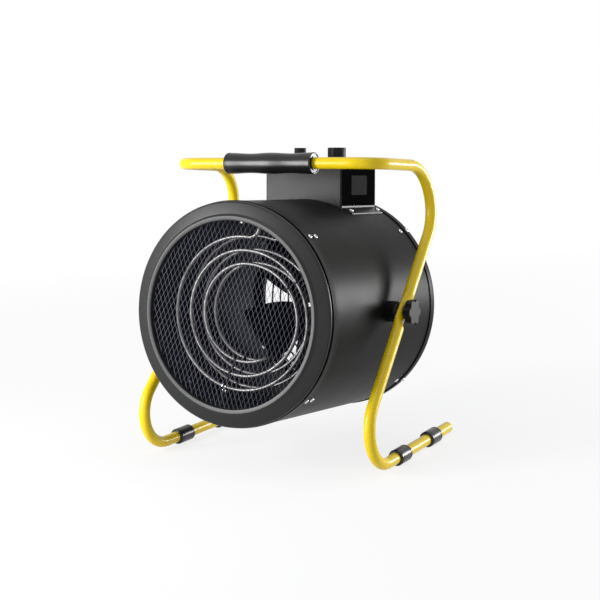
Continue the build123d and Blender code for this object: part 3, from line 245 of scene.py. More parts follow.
def carried(bm, places, radius, segments):
    """Carries a ring through the places and closes both ends."""
    ring = bmesh.ops.create_circle(bm, cap_ends=False, radius=radius, segments=segments)["verts"]
    bmesh.ops.transform(bm, matrix=places[0], verts=ring)
    edges = list({edge for vert in ring for edge in vert.link_edges})
    first = edges
    for before, here in zip(places, places[1:]):
        grown = bmesh.ops.extrude_edge_only(bm, edges=edges)["geom"]
        ring = [part for part in grown if isinstance(part, bmesh.types.BMVert)]
        edges = [part for part in grown if isinstance(part, bmesh.types.BMEdge)]
        bmesh.ops.transform(bm, matrix=here @ before.inverted(), verts=ring)
    for loop in (first, edges):
        bmesh.ops.edgeloop_fill(bm, edges=loop)
    bmesh.ops.recalc_face_normals(bm, faces=bm.faces)


def merge(bm, part):
    """Adds a part's mesh to another and frees the part."""
    mesh = bpy.data.meshes.new("part")
    part.to_mesh(mesh)
    part.free()
    bm.from_mesh(mesh)
    bpy.data.meshes.remove(mesh)


def softened(bm, width, segments=2, angle=math.radians(30)):
    """Bevels every edge that is sharper than an angle."""
    edges = [edge for edge in bm.edges if edge.is_manifold and edge.calc_face_angle(0) > angle]
    bmesh.ops.bevel(
        bm, geom=edges, offset=width, segments=segments, profile=0.5, affect="EDGES",
        clamp_overlap=True, material=-1,
    )


def finished(name, bm, body, material, replaces=()):
    """Makes the mesh an object that rides on a body of the frame."""
    mesh = bpy.data.meshes.new(name)
    bm.to_mesh(mesh)
    bm.free()
    mesh.polygons.foreach_set("use_smooth", [True] * len(mesh.polygons))
    mesh.set_sharp_from_angle(angle=SHARP_ABOVE)
    mesh.materials.append(material)
    piece = bpy.data.objects.new(name, mesh)
    bpy.context.scene.collection.objects.link(piece)
    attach(piece, body)
    if replaces:
        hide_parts(*replaces)
    return piece


def dressed(material, *nodes):
    """Gives nodes of the frame a material."""
    for name in nodes:
        node = frame["nodes"][name]
        node.data.materials.clear()
        node.data.materials.append(material)


# ------------------------------------------------------------------ materials
BUMP_DISTANCE = 0.0001


def skin_group(name, first, second_label, second, roughness, roughness_spread):
    """A node group that is ready for nodes: in go a place, two colours and a roughness."""
    group = bpy.data.node_groups.new(name, "ShaderNodeTree")
    inputs = (
        ("Vector", "NodeSocketVector", None), ("Colour", "NodeSocketColor", first),
        (second_label, "NodeSocketColor", second), ("Roughness", "NodeSocketFloat", roughness),
        ("Roughness Spread", "NodeSocketFloat", roughness_spread),
    )
    for label, kind, default in inputs:
        socket = group.interface.new_socket(name=label, in_out="INPUT", socket_type=kind)
        if default is not None:
            socket.default_value = default
    for label, kind in (("Colour", "NodeSocketColor"), ("Roughness", "NodeSocketFloat"),
                        ("Height", "NodeSocketFloat")):
        group.interface.new_socket(name=label, in_out="OUTPUT", socket_type=kind)
    return group, group.nodes.new("NodeGroupInput"), group.nodes.new("NodeGroupOutput")


def noise(tree, vector, scale, detail, roughness=0.5):
    node = tree.nodes.new("ShaderNodeTexNoise")
    node.inputs["Scale"].default_value = scale
    node.inputs["Detail"].default_value = detail
    node.inputs["Roughness"].default_value = roughness
    tree.links.new(vector, node.inputs["Vector"])
    return node.outputs["Fac"]


def spread(tree, value, low, high):
    """Maps a 0 to 1 value onto a range, which may be numbers or sockets."""
    node = tree.nodes.new("ShaderNodeMapRange")
    tree.links.new(value, node.inputs["Value"])
    for label, limit in (("To Min", low), ("To Max", high)):
        if isinstance(limit, (int, float)):
            node.inputs[label].default_value = limit
        else:
            tree.links.new(limit, node.inputs[label])
    return node.outputs["Result"]


def tinted(tree, factor, first, second):
    """Mixes two colours, which may be values or sockets."""
    node = tree.nodes.new("ShaderNodeMix")
    node.data_type = "RGBA"
    tree.links.new(factor, node.inputs["Factor"])
    for socket, source in ((node.inputs[6], first), (node.inputs[7], second)):
        if isinstance(source, (tuple, list)):
            socket.default_value = source
        else:
            tree.links.new(source, socket)
    return node.outputs[2]


def maths(tree, operation, first, second=None):
    node = tree.nodes.new("ShaderNodeMath")
    node.operation = operation
    for socket, source in zip(node.inputs, (first, second)):
        if isinstance(source, (int, float)):
            socket.default_value = source
        elif source is not None:
            tree.links.new(source, socket)
    return node.outputs["Value"]


def skin_maps(group, leave, colour_map, height):
    """Sends a colour and a height to the group's outputs."""
    group.links.new(colour_map, leave.inputs["Colour"])
    group.links.new(height, leave.inputs["Height"])


def varied_roughness(group, entry, leave, value):
    """Sends out a roughness that a 0 to 1 value moves up and down about its level."""
    level, reach = entry.outputs["Roughness"], entry.outputs["Roughness Spread"]
    low = maths(group, "SUBTRACT", level, reach)
    high = maths(group, "ADD", level, reach)
    group.links.new(spread(group, value, low, high), leave.inputs["Roughness"])


def make_coat_group():
    """Powder coat: fine orange peel, faint mottling of colour and of gloss."""
    group, entry, leave = skin_group(
        "Coat Grain", (0.5, 0.5, 0.5, 1.0), "Shade", (0.4, 0.4, 0.4, 1.0), 0.4, 0.06)
    vector = entry.outputs["Vector"]
    mottle = noise(group, vector, 22.0, 4.0)
    fine = noise(group, vector, 900.0, 2.0)
    peel = noise(group, vector, 420.0, 2.0)
    blend = maths(group, "ADD", maths(group, "MULTIPLY", mottle, 0.7),
                  maths(group, "MULTIPLY", fine, 0.3))
    shade = spread(group, blend, 0.0, 1.0)
    skin_maps(group, leave, tinted(group, shade, entry.outputs["Shade"], entry.outputs["Colour"]),
              maths(group, "ADD", peel, maths(group, "MULTIPLY", fine, 0.35)))
    varied_roughness(group, entry, leave, mottle)
    return group


def make_metal_group():
    """Drawn or rolled metal: streaks along one direction, heat tint and fine scratches."""
    group, entry, leave = skin_group(
        "Metal Streaks", (0.6, 0.6, 0.6, 1.0), "Tint", (0.4, 0.38, 0.36, 1.0), 0.3, 0.1)
    vector = entry.outputs["Vector"]
    stretch = group.nodes.new("ShaderNodeMapping")
    stretch.inputs["Scale"].default_value = (1.0, 14.0, 1.0)
    group.links.new(vector, stretch.inputs["Vector"])
    streak = noise(group, stretch.outputs["Vector"], 60.0, 4.0, 0.65)
    scratch = noise(group, stretch.outputs["Vector"], 260.0, 2.0)
    cloud = spread(group, noise(group, vector, 30.0, 3.0), -0.25, 1.15)
    skin_maps(group, leave, tinted(group, cloud, entry.outputs["Tint"], entry.outputs["Colour"]),
              maths(group, "ADD", maths(group, "MULTIPLY", streak, 0.6), scratch))
    varied_roughness(group, entry, leave, streak)
    return group


def make_moulded_group():
    """Moulded plastic or rubber: spark texture, and a faint bloom in the colour."""
    group, entry, leave = skin_group(
        "Moulded Skin", (0.02, 0.02, 0.02, 1.0), "Bloom", (0.03, 0.03, 0.03, 1.0), 0.3, 0.05)
    vector = entry.outputs["Vector"]
    bloom = noise(group, vector, 55.0, 3.0)
    skin_maps(group, leave, tinted(group, bloom, entry.outputs["Colour"], entry.outputs["Bloom"]),
              noise(group, vector, 1500.0, 2.0, 0.7))
    varied_roughness(group, entry, leave, bloom)
    return group


GROUP_MAKERS = {"Coat Grain": make_coat_group, "Metal Streaks": make_metal_group,
                "Moulded Skin": make_moulded_group}


def surface(name, group_name, first, second, roughness, roughness_spread, bump,
            metallic=0.0, coat=0.0, coat_roughness=0.1, specular=0.5):
    """A material whose colour, roughness and bump come from one of the shared groups."""
    if name in bpy.data.materials:
        return bpy.data.materials[name]
    group = bpy.data.node_groups.get(group_name) or GROUP_MAKERS[group_name]()
    material = bpy.data.materials.new(name)
    material.use_nodes = True
    tree = material.node_tree
    shader = tree.nodes["Principled BSDF"]
    place = tree.nodes.new("ShaderNodeTexCoord")
    skin = tree.nodes.new("ShaderNodeGroup")
    skin.node_tree = group
    tree.links.new(place.outputs["Object"], skin.inputs["Vector"])
    skin.inputs[1].default_value = (*first, 1.0)
    skin.inputs[2].default_value = (*second, 1.0)
    skin.inputs["Roughness"].default_value = roughness
    skin.inputs["Roughness Spread"].default_value = roughness_spread
    relief = tree.nodes.new("ShaderNodeBump")
    relief.inputs["Strength"].default_value = bump
    relief.inputs["Distance"].default_value = BUMP_DISTANCE
    tree.links.new(skin.outputs["Height"], relief.inputs["Height"])
    tree.links.new(relief.outputs["Normal"], shader.inputs["Normal"])
    tree.links.new(skin.outputs["Colour"], shader.inputs["Base Color"])
    tree.links.new(skin.outputs["Roughness"], shader.inputs["Roughness"])
    shader.inputs["Metallic"].default_value = metallic
    shader.inputs["Coat Weight"].default_value = coat
    shader.inputs["Coat Roughness"].default_value = coat_roughness
    shader.inputs["Specular IOR Level"].default_value = specular
    return material


def tones(setting, first, second):
    """Two tones of one of the heater's colours, as factors of it."""
    tone = getattr(bpy.context.scene.heater_colours, setting)
    return [tuple(min(1.0, part * factor) for part in tone) for factor in (first, second)]


def stand_paint():
    return surface("stand powder coat", "Coat Grain", *tones("stand", 1.0, 0.90),
                   0.30, 0.05, 0.10, coat=0.10, coat_roughness=0.16, specular=0.25)


def casing_paint():
    return surface("casing powder coat", "Coat Grain", *tones("casing", 1.0, 0.80),
                   0.40, 0.04, 0.16, specular=0.055)


# A lighter copy of the casing's coat (1.2 times its colour, with a far stronger reflection): painted
# light for the light the ring catches.
def ring_lightened_paint():
    return surface("ring powder coat", "Coat Grain", *tones("casing", 1.2, 0.95),
                   0.36, 0.02, 0.10, specular=0.35)


def box_paint():
    return surface("box powder coat", "Coat Grain", *tones("box", 1.0, 0.85),
                   0.34, 0.03, 0.12, specular=0.16)


# A near black copy of the box coat with no reflection: a sheet of painted shade for the box's right
# side.
def painted_shade_paint():
    return surface("side plate coat", "Coat Grain", *tones("box", 0.30, 0.22),
                   0.60, 0.05, 0.16, specular=0.0)


def plate_film():
    return surface("bare plate film", "Moulded Skin", *tones("plastic", 0.8, 1.1),
                   0.50, 0.04, 0.04, specular=0.01)


def gloss_moulding():
    return surface("glossy moulding", "Moulded Skin", *tones("grip", 1.0, 1.5),
                   0.30, 0.05, 0.05, coat=0.12, coat_roughness=0.24, specular=0.32)


def matt_moulding():
    return surface("matt moulding", "Moulded Skin", *tones("plastic", 1.0, 1.6),
                   0.42, 0.06, 0.12, specular=0.14)


def soft_rubber():
    return surface("soft rubber", "Moulded Skin", *tones("plastic", 1.4, 2.0), 0.68, 0.08, 0.2)


def mesh_metal():
    return surface("mesh metal", "Metal Streaks", *tones("mesh", 1.0, 0.7),
                   0.38, 0.1, 0.1, metallic=0.75)


# Near black steel: painted shade for the inside of the drum.
def liner_painted_shade_metal():
    return surface("liner sheet", "Metal Streaks", *tones("liner", 1.0, 0.7),
                   0.55, 0.1, 0.12, specular=0.03)


# Steel coloured near black: painted shade for the supports and brackets inside the drum.
def painted_shade_metal():
    return surface("dark steel", "Metal Streaks", *tones("dark_steel", 1.0, 0.7),
                   0.5, 0.1, 0.12, metallic=0.5)


def element_metal():
    return surface("element sheath", "Metal Streaks", *tones("element", 1.0, 0.36),
                   0.40, 0.08, 0.12, metallic=0.9)


def zinc_plate():
    return surface("zinc plate", "Metal Streaks", *tones("zinc", 1.0, 0.8),
                   0.24, 0.08, 0.06, metallic=1.0)


# Aluminium coloured near black: painted shade for the fan inside the drum.
def fan_painted_shade_metal():
    return surface("fan aluminium", "Metal Streaks", *tones("aluminium", 1.0, 0.75),
                   0.50, 0.08, 0.1, metallic=0.6, specular=0.2)


def brass_metal():
    return surface("terminal brass", "Metal Streaks", (0.60, 0.42, 0.15), (0.42, 0.27, 0.09),
                   0.3, 0.08, 0.08, metallic=1.0)


def ceramic_white():
    return surface("terminal ceramic", "Moulded Skin", (0.70, 0.68, 0.62), (0.62, 0.60, 0.54),
                   0.5, 0.08, 0.1)


# ------------------------------------------------------------------ stand
ARM_SPREAD = 0.2046
ARM_LEAN = 0.06
ARM_SLOPE = math.radians(43.7)
FOOT_HEIGHT = -0.227
UPPER_BEND_HEIGHT = 0.212
BAR_HEIGHT = 0.246
BAR_AHEAD = 0.050
FOOT_END = 0.146
FOOT_TOE_IN = 0.0125
LOWER_BEND = 0.058
UPPER_BEND = 0.071
BAR_BEND = 0.0445
FLAT_HALF_LENGTH = 0.015
FLAT_RUNOUT = 0.020
FLAT_INSET = 0.002
FLAT_HALF_THICKNESS = 0.006
FLAT_HALF_WIDTH = 0.0124
TUBE_SPACING = 0.003
TUBE_SIDES = 28
SLEEVE_PLACES = (-0.045, 0.077)
BORE_ROOM = 0.0001
GRIP_WAIST = 0.0160
GRIP_SWELL = 0.0174
GRIP_RIM = 0.006
GRIP_WAVES = 0.98
GRIP_STEPS = 24


def arm_point(side, height):
    return Vector((side * (ARM_SPREAD - ARM_LEAN * height), height / math.tan(ARM_SLOPE), height))


def bar_end(side):
    return Vector((side * (ARM_SPREAD - ARM_LEAN * BAR_HEIGHT), -BAR_AHEAD, BAR_HEIGHT))


def foot_end(side):
    corner = arm_point(side, FOOT_HEIGHT)
    return Vector((corner.x - side * FOOT_TOE_IN, FOOT_END, FOOT_HEIGHT))


def foot_direction(side):
    return foot_end(side) - arm_point(side, FOOT_HEIGHT)


def foot_point(side, along):
    """A point of a foot's centre line, so far behind the pivot."""
    start, end = arm_point(side, FOOT_HEIGHT), foot_end(side)
    return start.lerp(end, (along - start.y) / (end.y - start.y))


def flattening(point):
    """How far the tube is pressed flat at a point: 0 where it is round, 1 at the pivot."""
    side = math.copysign(1, point.x)
    height = abs(point.z) / math.sin(ARM_SLOPE)
    on_arm = abs(point.y - arm_point(side, point.z).y) < 0.002
    if not on_arm or height > FLAT_HALF_LENGTH + FLAT_RUNOUT:
        return 0.0
    share = 1 - max(0.0, height - FLAT_HALF_LENGTH) / FLAT_RUNOUT
    return share * share * (3 - 2 * share)


def pressed(place, tube_radius):
    """A place on the stand's line, squeezed and shifted where the arm is pressed flat."""
    point = place.translation
    amount = flattening(point)
    if amount == 0:
        return place
    side = math.copysign(1, point.x)
    flat_x = side * (ARM_SPREAD - FLAT_INSET)
    shift = Matrix.Translation(((flat_x - point.x) * amount, 0, 0))
    thin = 1 + (FLAT_HALF_THICKNESS / tube_radius - 1) * amount
    wide = 1 + (FLAT_HALF_WIDTH / tube_radius - 1) * amount
    return shift @ place @ Matrix.Diagonal((thin, wide, 1, 1))


class HEATER_OT_stand_tube(bpy.types.Operator):
    """One tube bent into two feet, two arms and the top bar"""

    bl_idname = "heater.stand_tube"
    bl_label = "Stand tube"

    def execute(self, context):
        radius = context.scene.heater_sizes.tube_radius
        corners = [
            foot_end(-1), arm_point(-1, FOOT_HEIGHT), arm_point(-1, UPPER_BEND_HEIGHT), bar_end(-1),
            bar_end(1), arm_point(1, UPPER_BEND_HEIGHT), arm_point(1, FOOT_HEIGHT), foot_end(1),
        ]
        radii = [LOWER_BEND, UPPER_BEND, BAR_BEND, BAR_BEND, UPPER_BEND, LOWER_BEND]
        points = bent_line(corners, radii, TUBE_SPACING)
        places = [pressed(place, radius) for place in line_places(points, (1, 0, 0))]
        bm = bmesh.new()
        carried(bm, places, radius, TUBE_SIDES)
        moved(bm, STAND)
        finished("bent_stand_tube", bm, "stand", stand_paint(), ("stand_tube",))
        return {"FINISHED"}


class HEATER_OT_grip(bpy.types.Operator):
    """Waisted grip on the top bar, with a raised rim at each end"""

    bl_idname = "heater.grip"
    bl_label = "Carrying grip"

    def execute(self, context):
        half = context.scene.heater_sizes.grip_length / 2
        bore = context.scene.heater_sizes.tube_radius + BORE_ROOM
        side = []
        for step in range(-GRIP_STEPS, GRIP_STEPS + 1):
            share = step / GRIP_STEPS
            wave = math.cos(math.tau * share * GRIP_WAVES)
            radius = GRIP_WAIST + (GRIP_SWELL - GRIP_WAIST) * (wave + 1) / 2
            side.append((radius, (half - GRIP_RIM) * share, 0.0))
        rim = [
            (bore, -half, 0.0), (bore + 0.002, -half, 0.0004), (bore + 0.0022, -half + 0.0012, 0.0),
            (0.0150, -half + 0.0012, 0.0), (0.0154, -half, 0.0006), (0.0174, -half, 0.0009),
            (0.0178, -half + 0.0026, 0.0010),
        ]
        bm = bmesh.new()
        turned(bm, rounded(rim + side + mirrored(rim), 4), 64)
        moved(bm, STAND @ along_axis((0, -BAR_AHEAD, BAR_HEIGHT), (1, 0, 0)))
        finished("waisted_grip", bm, "stand", gloss_moulding(), ("handle_grip",))
        return {"FINISHED"}


class HEATER_OT_feet(bpy.types.Operator):
    """Sleeves that the heater rests on, and the caps in the tube's ends"""

    bl_idname = "heater.feet"
    bl_label = "Feet"

    def execute(self, context):
        sizes = context.scene.heater_sizes
        bm = bmesh.new()
        for side in (-1, 1):
            for along in SLEEVE_PLACES:
                self.add_sleeve(bm, sizes, foot_point(side, along), foot_direction(side))
        moved(bm, STAND)
        self.cut_flat(bm)
        finished("ribbed_sleeves", bm, "stand", gloss_moulding(), ("foot_sleeves",))
        bm = bmesh.new()
        for side in (-1, 1):
            self.add_cap(bm, sizes, foot_end(side), foot_direction(side))
        moved(bm, STAND)
        finished("domed_end_caps", bm, "stand", matt_moulding(), ("tube_end_caps",))
        return {"FINISHED"}

    def add_sleeve(self, bm, sizes, middle, direction):
        """A sleeve with a soft edge, a shallow groove near each end and a bore."""
        half, outer, bore = sizes.sleeve_length / 2, sizes.sleeve_radius, sizes.tube_radius + BORE_ROOM
        end = [(bore, -half, 0.0), (outer - 0.0022, -half, 0.0012), (outer, -half + 0.0022, 0.0016),
               (outer, -half + 0.0058, 0.0), (outer - 0.0004, -half + 0.0063, 0.0),
               (outer - 0.0004, -half + 0.0070, 0.0), (outer, -half + 0.0075, 0.0)]
        part = bmesh.new()
        turned(part, rounded(end + mirrored(end), 4), 48)
        moved(part, along_axis(middle, direction))
        merge(bm, part)

    def add_cap(self, bm, sizes, end, direction):
        """A low domed cap with its plug inside the tube."""
        radius = sizes.tube_radius
        outline = [(0.0, 0.0016, 0.0), (radius - 0.0016, 0.0014, 0.0010), (radius, 0.0004, 0.0004),
                   (radius, 0.0, 0.0), (radius - 0.0016, 0.0, 0.0), (radius - 0.0016, -0.008, 0.0),
                   (0.0, -0.008, 0.0)]
        part = bmesh.new()
        turned(part, rounded(outline, 3), 40)
        moved(part, along_axis(end, direction))
        merge(bm, part)

    def cut_flat(self, bm):
        """Takes off what would reach below the floor."""
        cut = bmesh.ops.bisect_plane(
            bm, geom=[*bm.verts, *bm.edges, *bm.faces], dist=1e-7,
            plane_co=(0, 0, 0), plane_no=(0, 0, -1), clear_outer=True)
        rim = [part for part in cut["geom_cut"] if isinstance(part, bmesh.types.BMEdge)]
        bmesh.ops.holes_fill(bm, edges=rim, sides=0)


# ------------------------------------------------------------------ drum
SHELL_STEPS = 192
CASING_WALL = 0.0012
LIP_WIDTH = 0.008
SPIGOT_STEP = 0.006
REAR_RING_START = 0.356
REAR_RING_SEAT = 0.0003
REAR_RING_WALL = 0.0014
REAR_RING_OPENING = 0.160
LINER_WALL = 0.0012
LINER_START = 0.0111
LINER_END = 0.320
LINER_FLANGE = 0.007
MESH_TURN = math.radians(9)
MESH_OVERLAP = 0.0068
MESH_DEPTH = 0.0103
MESH_SIDES = 60


class HEATER_OT_drum_shell(bpy.types.Operator):
    """Front ring, casing with its band, rear ring and inner liner, each turned from sheet"""

    bl_idname = "heater.drum_shell"
    bl_label = "Drum shell"

    def execute(self, context):
        sizes = context.scene.heater_sizes
        outlet, edge, depth = sizes.outlet_radius, sizes.casing_radius, sizes.drum_depth
        lip, spigot, bore = outlet + LIP_WIDTH, edge - SPIGOT_STEP, edge - CASING_WALL
        ring = [
            (outlet, 0.0095, 0.0), (outlet, 0.0007, 0.0016), (lip - 0.0006, -0.0001, 0.0026),
            (lip + 0.0024, 0.0035, 0.0018), (edge, 0.0082, 0.0045), (edge, 0.0128, 0.0005),
            (spigot, 0.0128, 0.0), (spigot, 0.0193, 0.001), (bore - 0.0003, 0.0233, 0.001),
            (bore - 0.0003, 0.040, 0.0), (bore - 0.0019, 0.040, 0.0), (bore - 0.0019, 0.024, 0.0),
            (spigot - 0.0016, 0.020, 0.0), (spigot - 0.0016, 0.0112, 0.0), (edge - 0.0016, 0.0112, 0.0),
            (edge - 0.0016, 0.0096, 0.0), (lip + 0.0016, 0.0053, 0.0), (lip - 0.0016, 0.0017, 0.0),
            (outlet + 0.0016, 0.0024, 0.0), (outlet + 0.0016, 0.0095, 0.0),
        ]
        self.shell("rolled_front_ring", ring, ring_lightened_paint(), "front_ring", "drum_grey")
        casing = [
            (bore, 0.0168, 0.0), (edge + 0.0009, 0.0168, 0.0005), (edge + 0.0009, 0.0186, 0.0004),
            (edge + 0.0005, 0.0194, 0.0), (edge + 0.0005, 0.0348, 0.0004), (edge, 0.0363, 0.0004),
            (edge, depth - 0.0017, 0.0), (bore, depth - 0.0017, 0.0),
        ]
        self.shell("banded_casing", casing, casing_paint(), "drum_casing", "drum_grey")
        seat, wall, start = edge + REAR_RING_SEAT, REAR_RING_WALL, REAR_RING_START
        rear = [
            (seat, start, 0.0), (seat + wall, start, 0.0005), (seat + wall, depth, 0.0012),
            (REAR_RING_OPENING, depth, 0.0004), (REAR_RING_OPENING, depth - wall, 0.0),
            (seat, depth - wall, 0.0),
        ]
        self.shell("rolled_rear_ring", rear, casing_paint(), "rear_ring", "drum_grey")
        inner, outer = sizes.liner_radius, sizes.liner_radius + LINER_WALL
        flange = outer + LINER_FLANGE
        liner = [
            (inner, LINER_START, 0.0012), (flange, LINER_START, 0.0), (flange, 0.0123, 0.0),
            (outer, 0.0123, 0.0), (outer, LINER_END, 0.0), (outer + 0.006, 0.326, 0.0),
            (outer + 0.0048, 0.3272, 0.0), (inner, LINER_END, 0.0),
        ]
        self.shell("drawn_liner", liner, liner_painted_shade_metal(), "inner_liner", "liner_steel")
        return {"FINISHED"}

    def shell(self, name, corners, material, node, slot):
        """A sheet part of the drum, turned from its outline."""
        bm = bmesh.new()
        turned(bm, drum_outline(corners), SHELL_STEPS)
        moved(bm, DRUM)
        finished(name, bm, "drum", material, (node,))


class HEATER_OT_grille(bpy.types.Operator):
    """Disc of expanded mesh with diamond gaps, held behind the ring's lip"""

    bl_idname = "heater.grille"
    bl_label = "Outlet mesh"

    def execute(self, context):
        sizes = context.scene.heater_sizes
        wide, high = sizes.mesh_width, sizes.mesh_height
        edge = sizes.outlet_radius + MESH_OVERLAP
        cells = math.ceil(edge * math.sqrt(2) / min(wide, high) * math.sqrt(2)) * 2
        bm = bmesh.new()
        bmesh.ops.create_grid(bm, x_segments=cells, y_segments=cells, size=cells / 2)
        moved(bm, Matrix.Rotation(math.radians(45), 4, "Z"))
        moved(bm, Matrix.Diagonal((wide / math.sqrt(2), high / math.sqrt(2), 1, 1)))
        moved(bm, Matrix.Rotation(-MESH_TURN, 4, "Z"))
        far = [face for face in bm.faces if face.calc_center_median().length > edge + high]
        bmesh.ops.delete(bm, geom=far, context="FACES")
        moved(bm, Matrix.Rotation(math.radians(90), 4, "X"))
        self.trim(bm, edge)
        bmesh.ops.wireframe(
            bm, faces=bm.faces, thickness=sizes.mesh_strand, offset=0.0, use_replace=True,
            use_boundary=True, use_even_offset=False,
        )
        bmesh.ops.recalc_face_normals(bm, faces=bm.faces)
        moved(bm, DRUM @ Matrix.Translation((0, MESH_DEPTH - PIVOT_DEPTH, 0)))
        finished("diamond_mesh", bm, "drum", mesh_metal(), ("front_grille",))
        return {"FINISHED"}

    def trim(self, bm, edge):
        """Cuts the sheet to a disc of many short sides."""
        for side in range(MESH_SIDES):
            turn = Matrix.Rotation(math.tau * side / MESH_SIDES, 3, "Y")
            outwards = turn @ Vector((1, 0, 0))
            bmesh.ops.bisect_plane(
                bm, geom=[*bm.verts, *bm.edges, *bm.faces], dist=1e-7,
                plane_co=outwards * edge, plane_no=outwards, clear_outer=True)


# ------------------------------------------------------------------ heating element
OUTER_LOOP = 0.123
INNER_LOOP = 0.079
WHOLE_LOOPS = 2
HAIRPIN_ANGLE = 163.0
# Where in its turn a loop starts to step out to the next, and for how long, in turns.
JOG_START = 0.56
JOG_LENGTH = 0.31
LEAD_BEND = 0.018
LEAD_END = 0.160
# Each leg: depth of its outermost loop, depth of its innermost one, and turns.
FRONT_LEG = (0.040, 0.054, 2.565)
REAR_LEG = (0.080, 0.085, 2.592)
LOOP_STEPS = 110
BEND_STEPS = 16
LEAD_SPACING = 0.004
ELEMENT_SIDES = 14
CLIP_ANGLE = 195.0
NUT_ANGLE = 6.0
NUT_DEPTH = 0.017


def outward(angle):
    return Vector((math.sin(math.radians(angle)), 0, math.cos(math.radians(angle))))


def sideways(angle):
    return Vector((math.cos(math.radians(angle)), 0, -math.sin(math.radians(angle))))


def around(angle, radius, depth):
    """A point of the drum: degrees clockwise from the top, radius, depth behind the lip."""
    return outward(angle) * radius + Vector((0, depth - PIVOT_DEPTH, 0))


def loop_point(leg, turn):
    """A point of a leg so many turns out from the hairpin."""
    outer_depth, inner_depth, _ = leg
    whole = min(int(turn), WHOLE_LOOPS)
    part = (turn - whole - JOG_START) / JOG_LENGTH if whole < WHOLE_LOOPS else 0
    part = max(0.0, min(1.0, part))
    share = (whole + part * part * (3 - 2 * part)) / WHOLE_LOOPS
    radius = INNER_LOOP + (OUTER_LOOP - INNER_LOOP) * share
    return around(HAIRPIN_ANGLE + 360 * turn, radius, inner_depth + (outer_depth - inner_depth) * share)


def leg_points(leg):
    """A leg from the hairpin out to the end of its lead."""
    outer_depth, _, turns = leg
    count = round(turns * LOOP_STEPS)
    points = [loop_point(leg, turns * step / count) for step in range(count + 1)]
    end_angle = HAIRPIN_ANGLE + 360 * turns
    sweep = math.acos(LEAD_BEND / (OUTER_LOOP + LEAD_BEND))
    for step in range(1, BEND_STEPS + 1):
        turn = sweep * step / BEND_STEPS
        rise = OUTER_LOOP + LEAD_BEND * (1 - math.cos(turn))
        run = LEAD_BEND * math.sin(turn)
        points.append(around(end_angle, rise, outer_depth) + sideways(end_angle) * run)
    lead = points[-1] - Vector((0, outer_depth - PIVOT_DEPTH, 0))
    add_run(points, points[-1] + lead.normalized() * (LEAD_END - lead.length), LEAD_SPACING)
    return points


def element_points():
    """The whole hairpin, from the end of one lead to the end of the other."""
    front, rear = leg_points(FRONT_LEG), leg_points(REAR_LEG)
    centre = (front[0] + rear[0]) / 2
    radius = (rear[0] - front[0]).length / 2
    bend = []
    for step in range(1, BEND_STEPS):
        turn = math.pi * step / BEND_STEPS
        bend.append(centre - sideways(HAIRPIN_ANGLE) * (radius * math.sin(turn))
                    - Vector((0, radius * math.cos(turn), 0)))
    return front[::-1] + bend + rear


class HEATER_OT_element(bpy.types.Operator):
    """Tubular heating element: a hairpin wound into two spirals, with a clip on its front loop"""

    bl_idname = "heater.element"
    bl_label = "Heating element"

    def execute(self, context):
        radius = context.scene.heater_sizes.element_radius
        bm = bmesh.new()
        carried(bm, line_places(element_points(), (0, 1, 0)), radius, ELEMENT_SIDES)
        moved(bm, DRUM)
        finished("wound_element", bm, "drum", element_metal(), ("heating_element",))
        self.add_clip(radius)
        self.add_nut(context.scene.heater_sizes.liner_radius)
        dressed(painted_shade_metal(), "element_supports", "support_screws")
        dressed(brass_metal(), "element_ferrules")
        dressed(ceramic_white(), "terminal_pins")
        return {"FINISHED"}

    def add_clip(self, radius):
        """Two bands and a clamp lug round the front leg's outer loop."""
        middle = loop_point(FRONT_LEG, WHOLE_LOOPS + (CLIP_ANGLE - HAIRPIN_ANGLE) / 360)
        along, outwards = sideways(CLIP_ANGLE), outward(CLIP_ANGLE)
        bm = bmesh.new()
        for shift in (-0.0030, 0.0030):
            band = bmesh.new()
            outline = [(radius + 0.0001, -0.0011, 0.0), (radius + 0.0016, -0.0011, 0.0004),
                       (radius + 0.0016, 0.0011, 0.0004), (radius + 0.0001, 0.0011, 0.0)]
            turned(band, rounded(outline, 3), 28)
            moved(band, along_axis(middle + along * shift, along))
            merge(bm, band)
        lug = bmesh.new()
        bmesh.ops.create_cube(lug, size=1.0, matrix=Matrix.Diagonal((0.0085, 0.0016, 0.0044, 1)))
        softened(lug, 0.0004)
        moved(lug, Matrix.Translation(middle + outwards * (radius + 0.0034))
              @ Matrix((along, (0, 1, 0), outwards)).transposed().to_4x4())
        merge(bm, lug)
        moved(bm, DRUM)
        finished("element_clip", bm, "drum", zinc_plate())

    def add_nut(self, liner_radius):
        """The nut and screw end that show inside the top of the outlet."""
        outline = [(0.0, 0.0, 0.0), (0.0042, 0.0, 0.0006), (0.0042, 0.0034, 0.0010),
                   (0.0022, 0.0034, 0.0), (0.0022, 0.0066, 0.0006), (0.0, 0.0066, 0.0)]
        bm = bmesh.new()
        turned(bm, rounded(outline, 3), 24)
        place = around(NUT_ANGLE, liner_radius - 0.0002, NUT_DEPTH)
        moved(bm, DRUM @ along_axis(place, -outward(NUT_ANGLE)))
        finished("outlet_nut", bm, "drum", zinc_plate())


# ------------------------------------------------------------------ nodes that keep their shape
class HEATER_OT_fan(bpy.types.Operator):
    """Finishes of the fan, its motor and the parts that carry them"""

    bl_idname = "heater.fan"
    bl_label = "Fan and motor"

    def execute(self, context):
        dressed(fan_painted_shade_metal(), "fan_impeller")
        dressed(zinc_plate(), "motor_shaft", "motor_bearings", "motor_screws", "bracket_screws")
        dressed(casing_paint(), "motor_body")
        dressed(painted_shade_metal(), "motor_bracket", "liner_brackets")
        return {"FINISHED"}


class HEATER_OT_rear_guard(bpy.types.Operator):
    """Finish of the wire guard over the air inlet"""

    bl_idname = "heater.rear_guard"
    bl_label = "Rear guard"

    def execute(self, context):
        dressed(casing_paint(), "rear_guard")
        return {"FINISHED"}


BOX_SIDE = 0.0737
PLATE_CORNER = 0.002
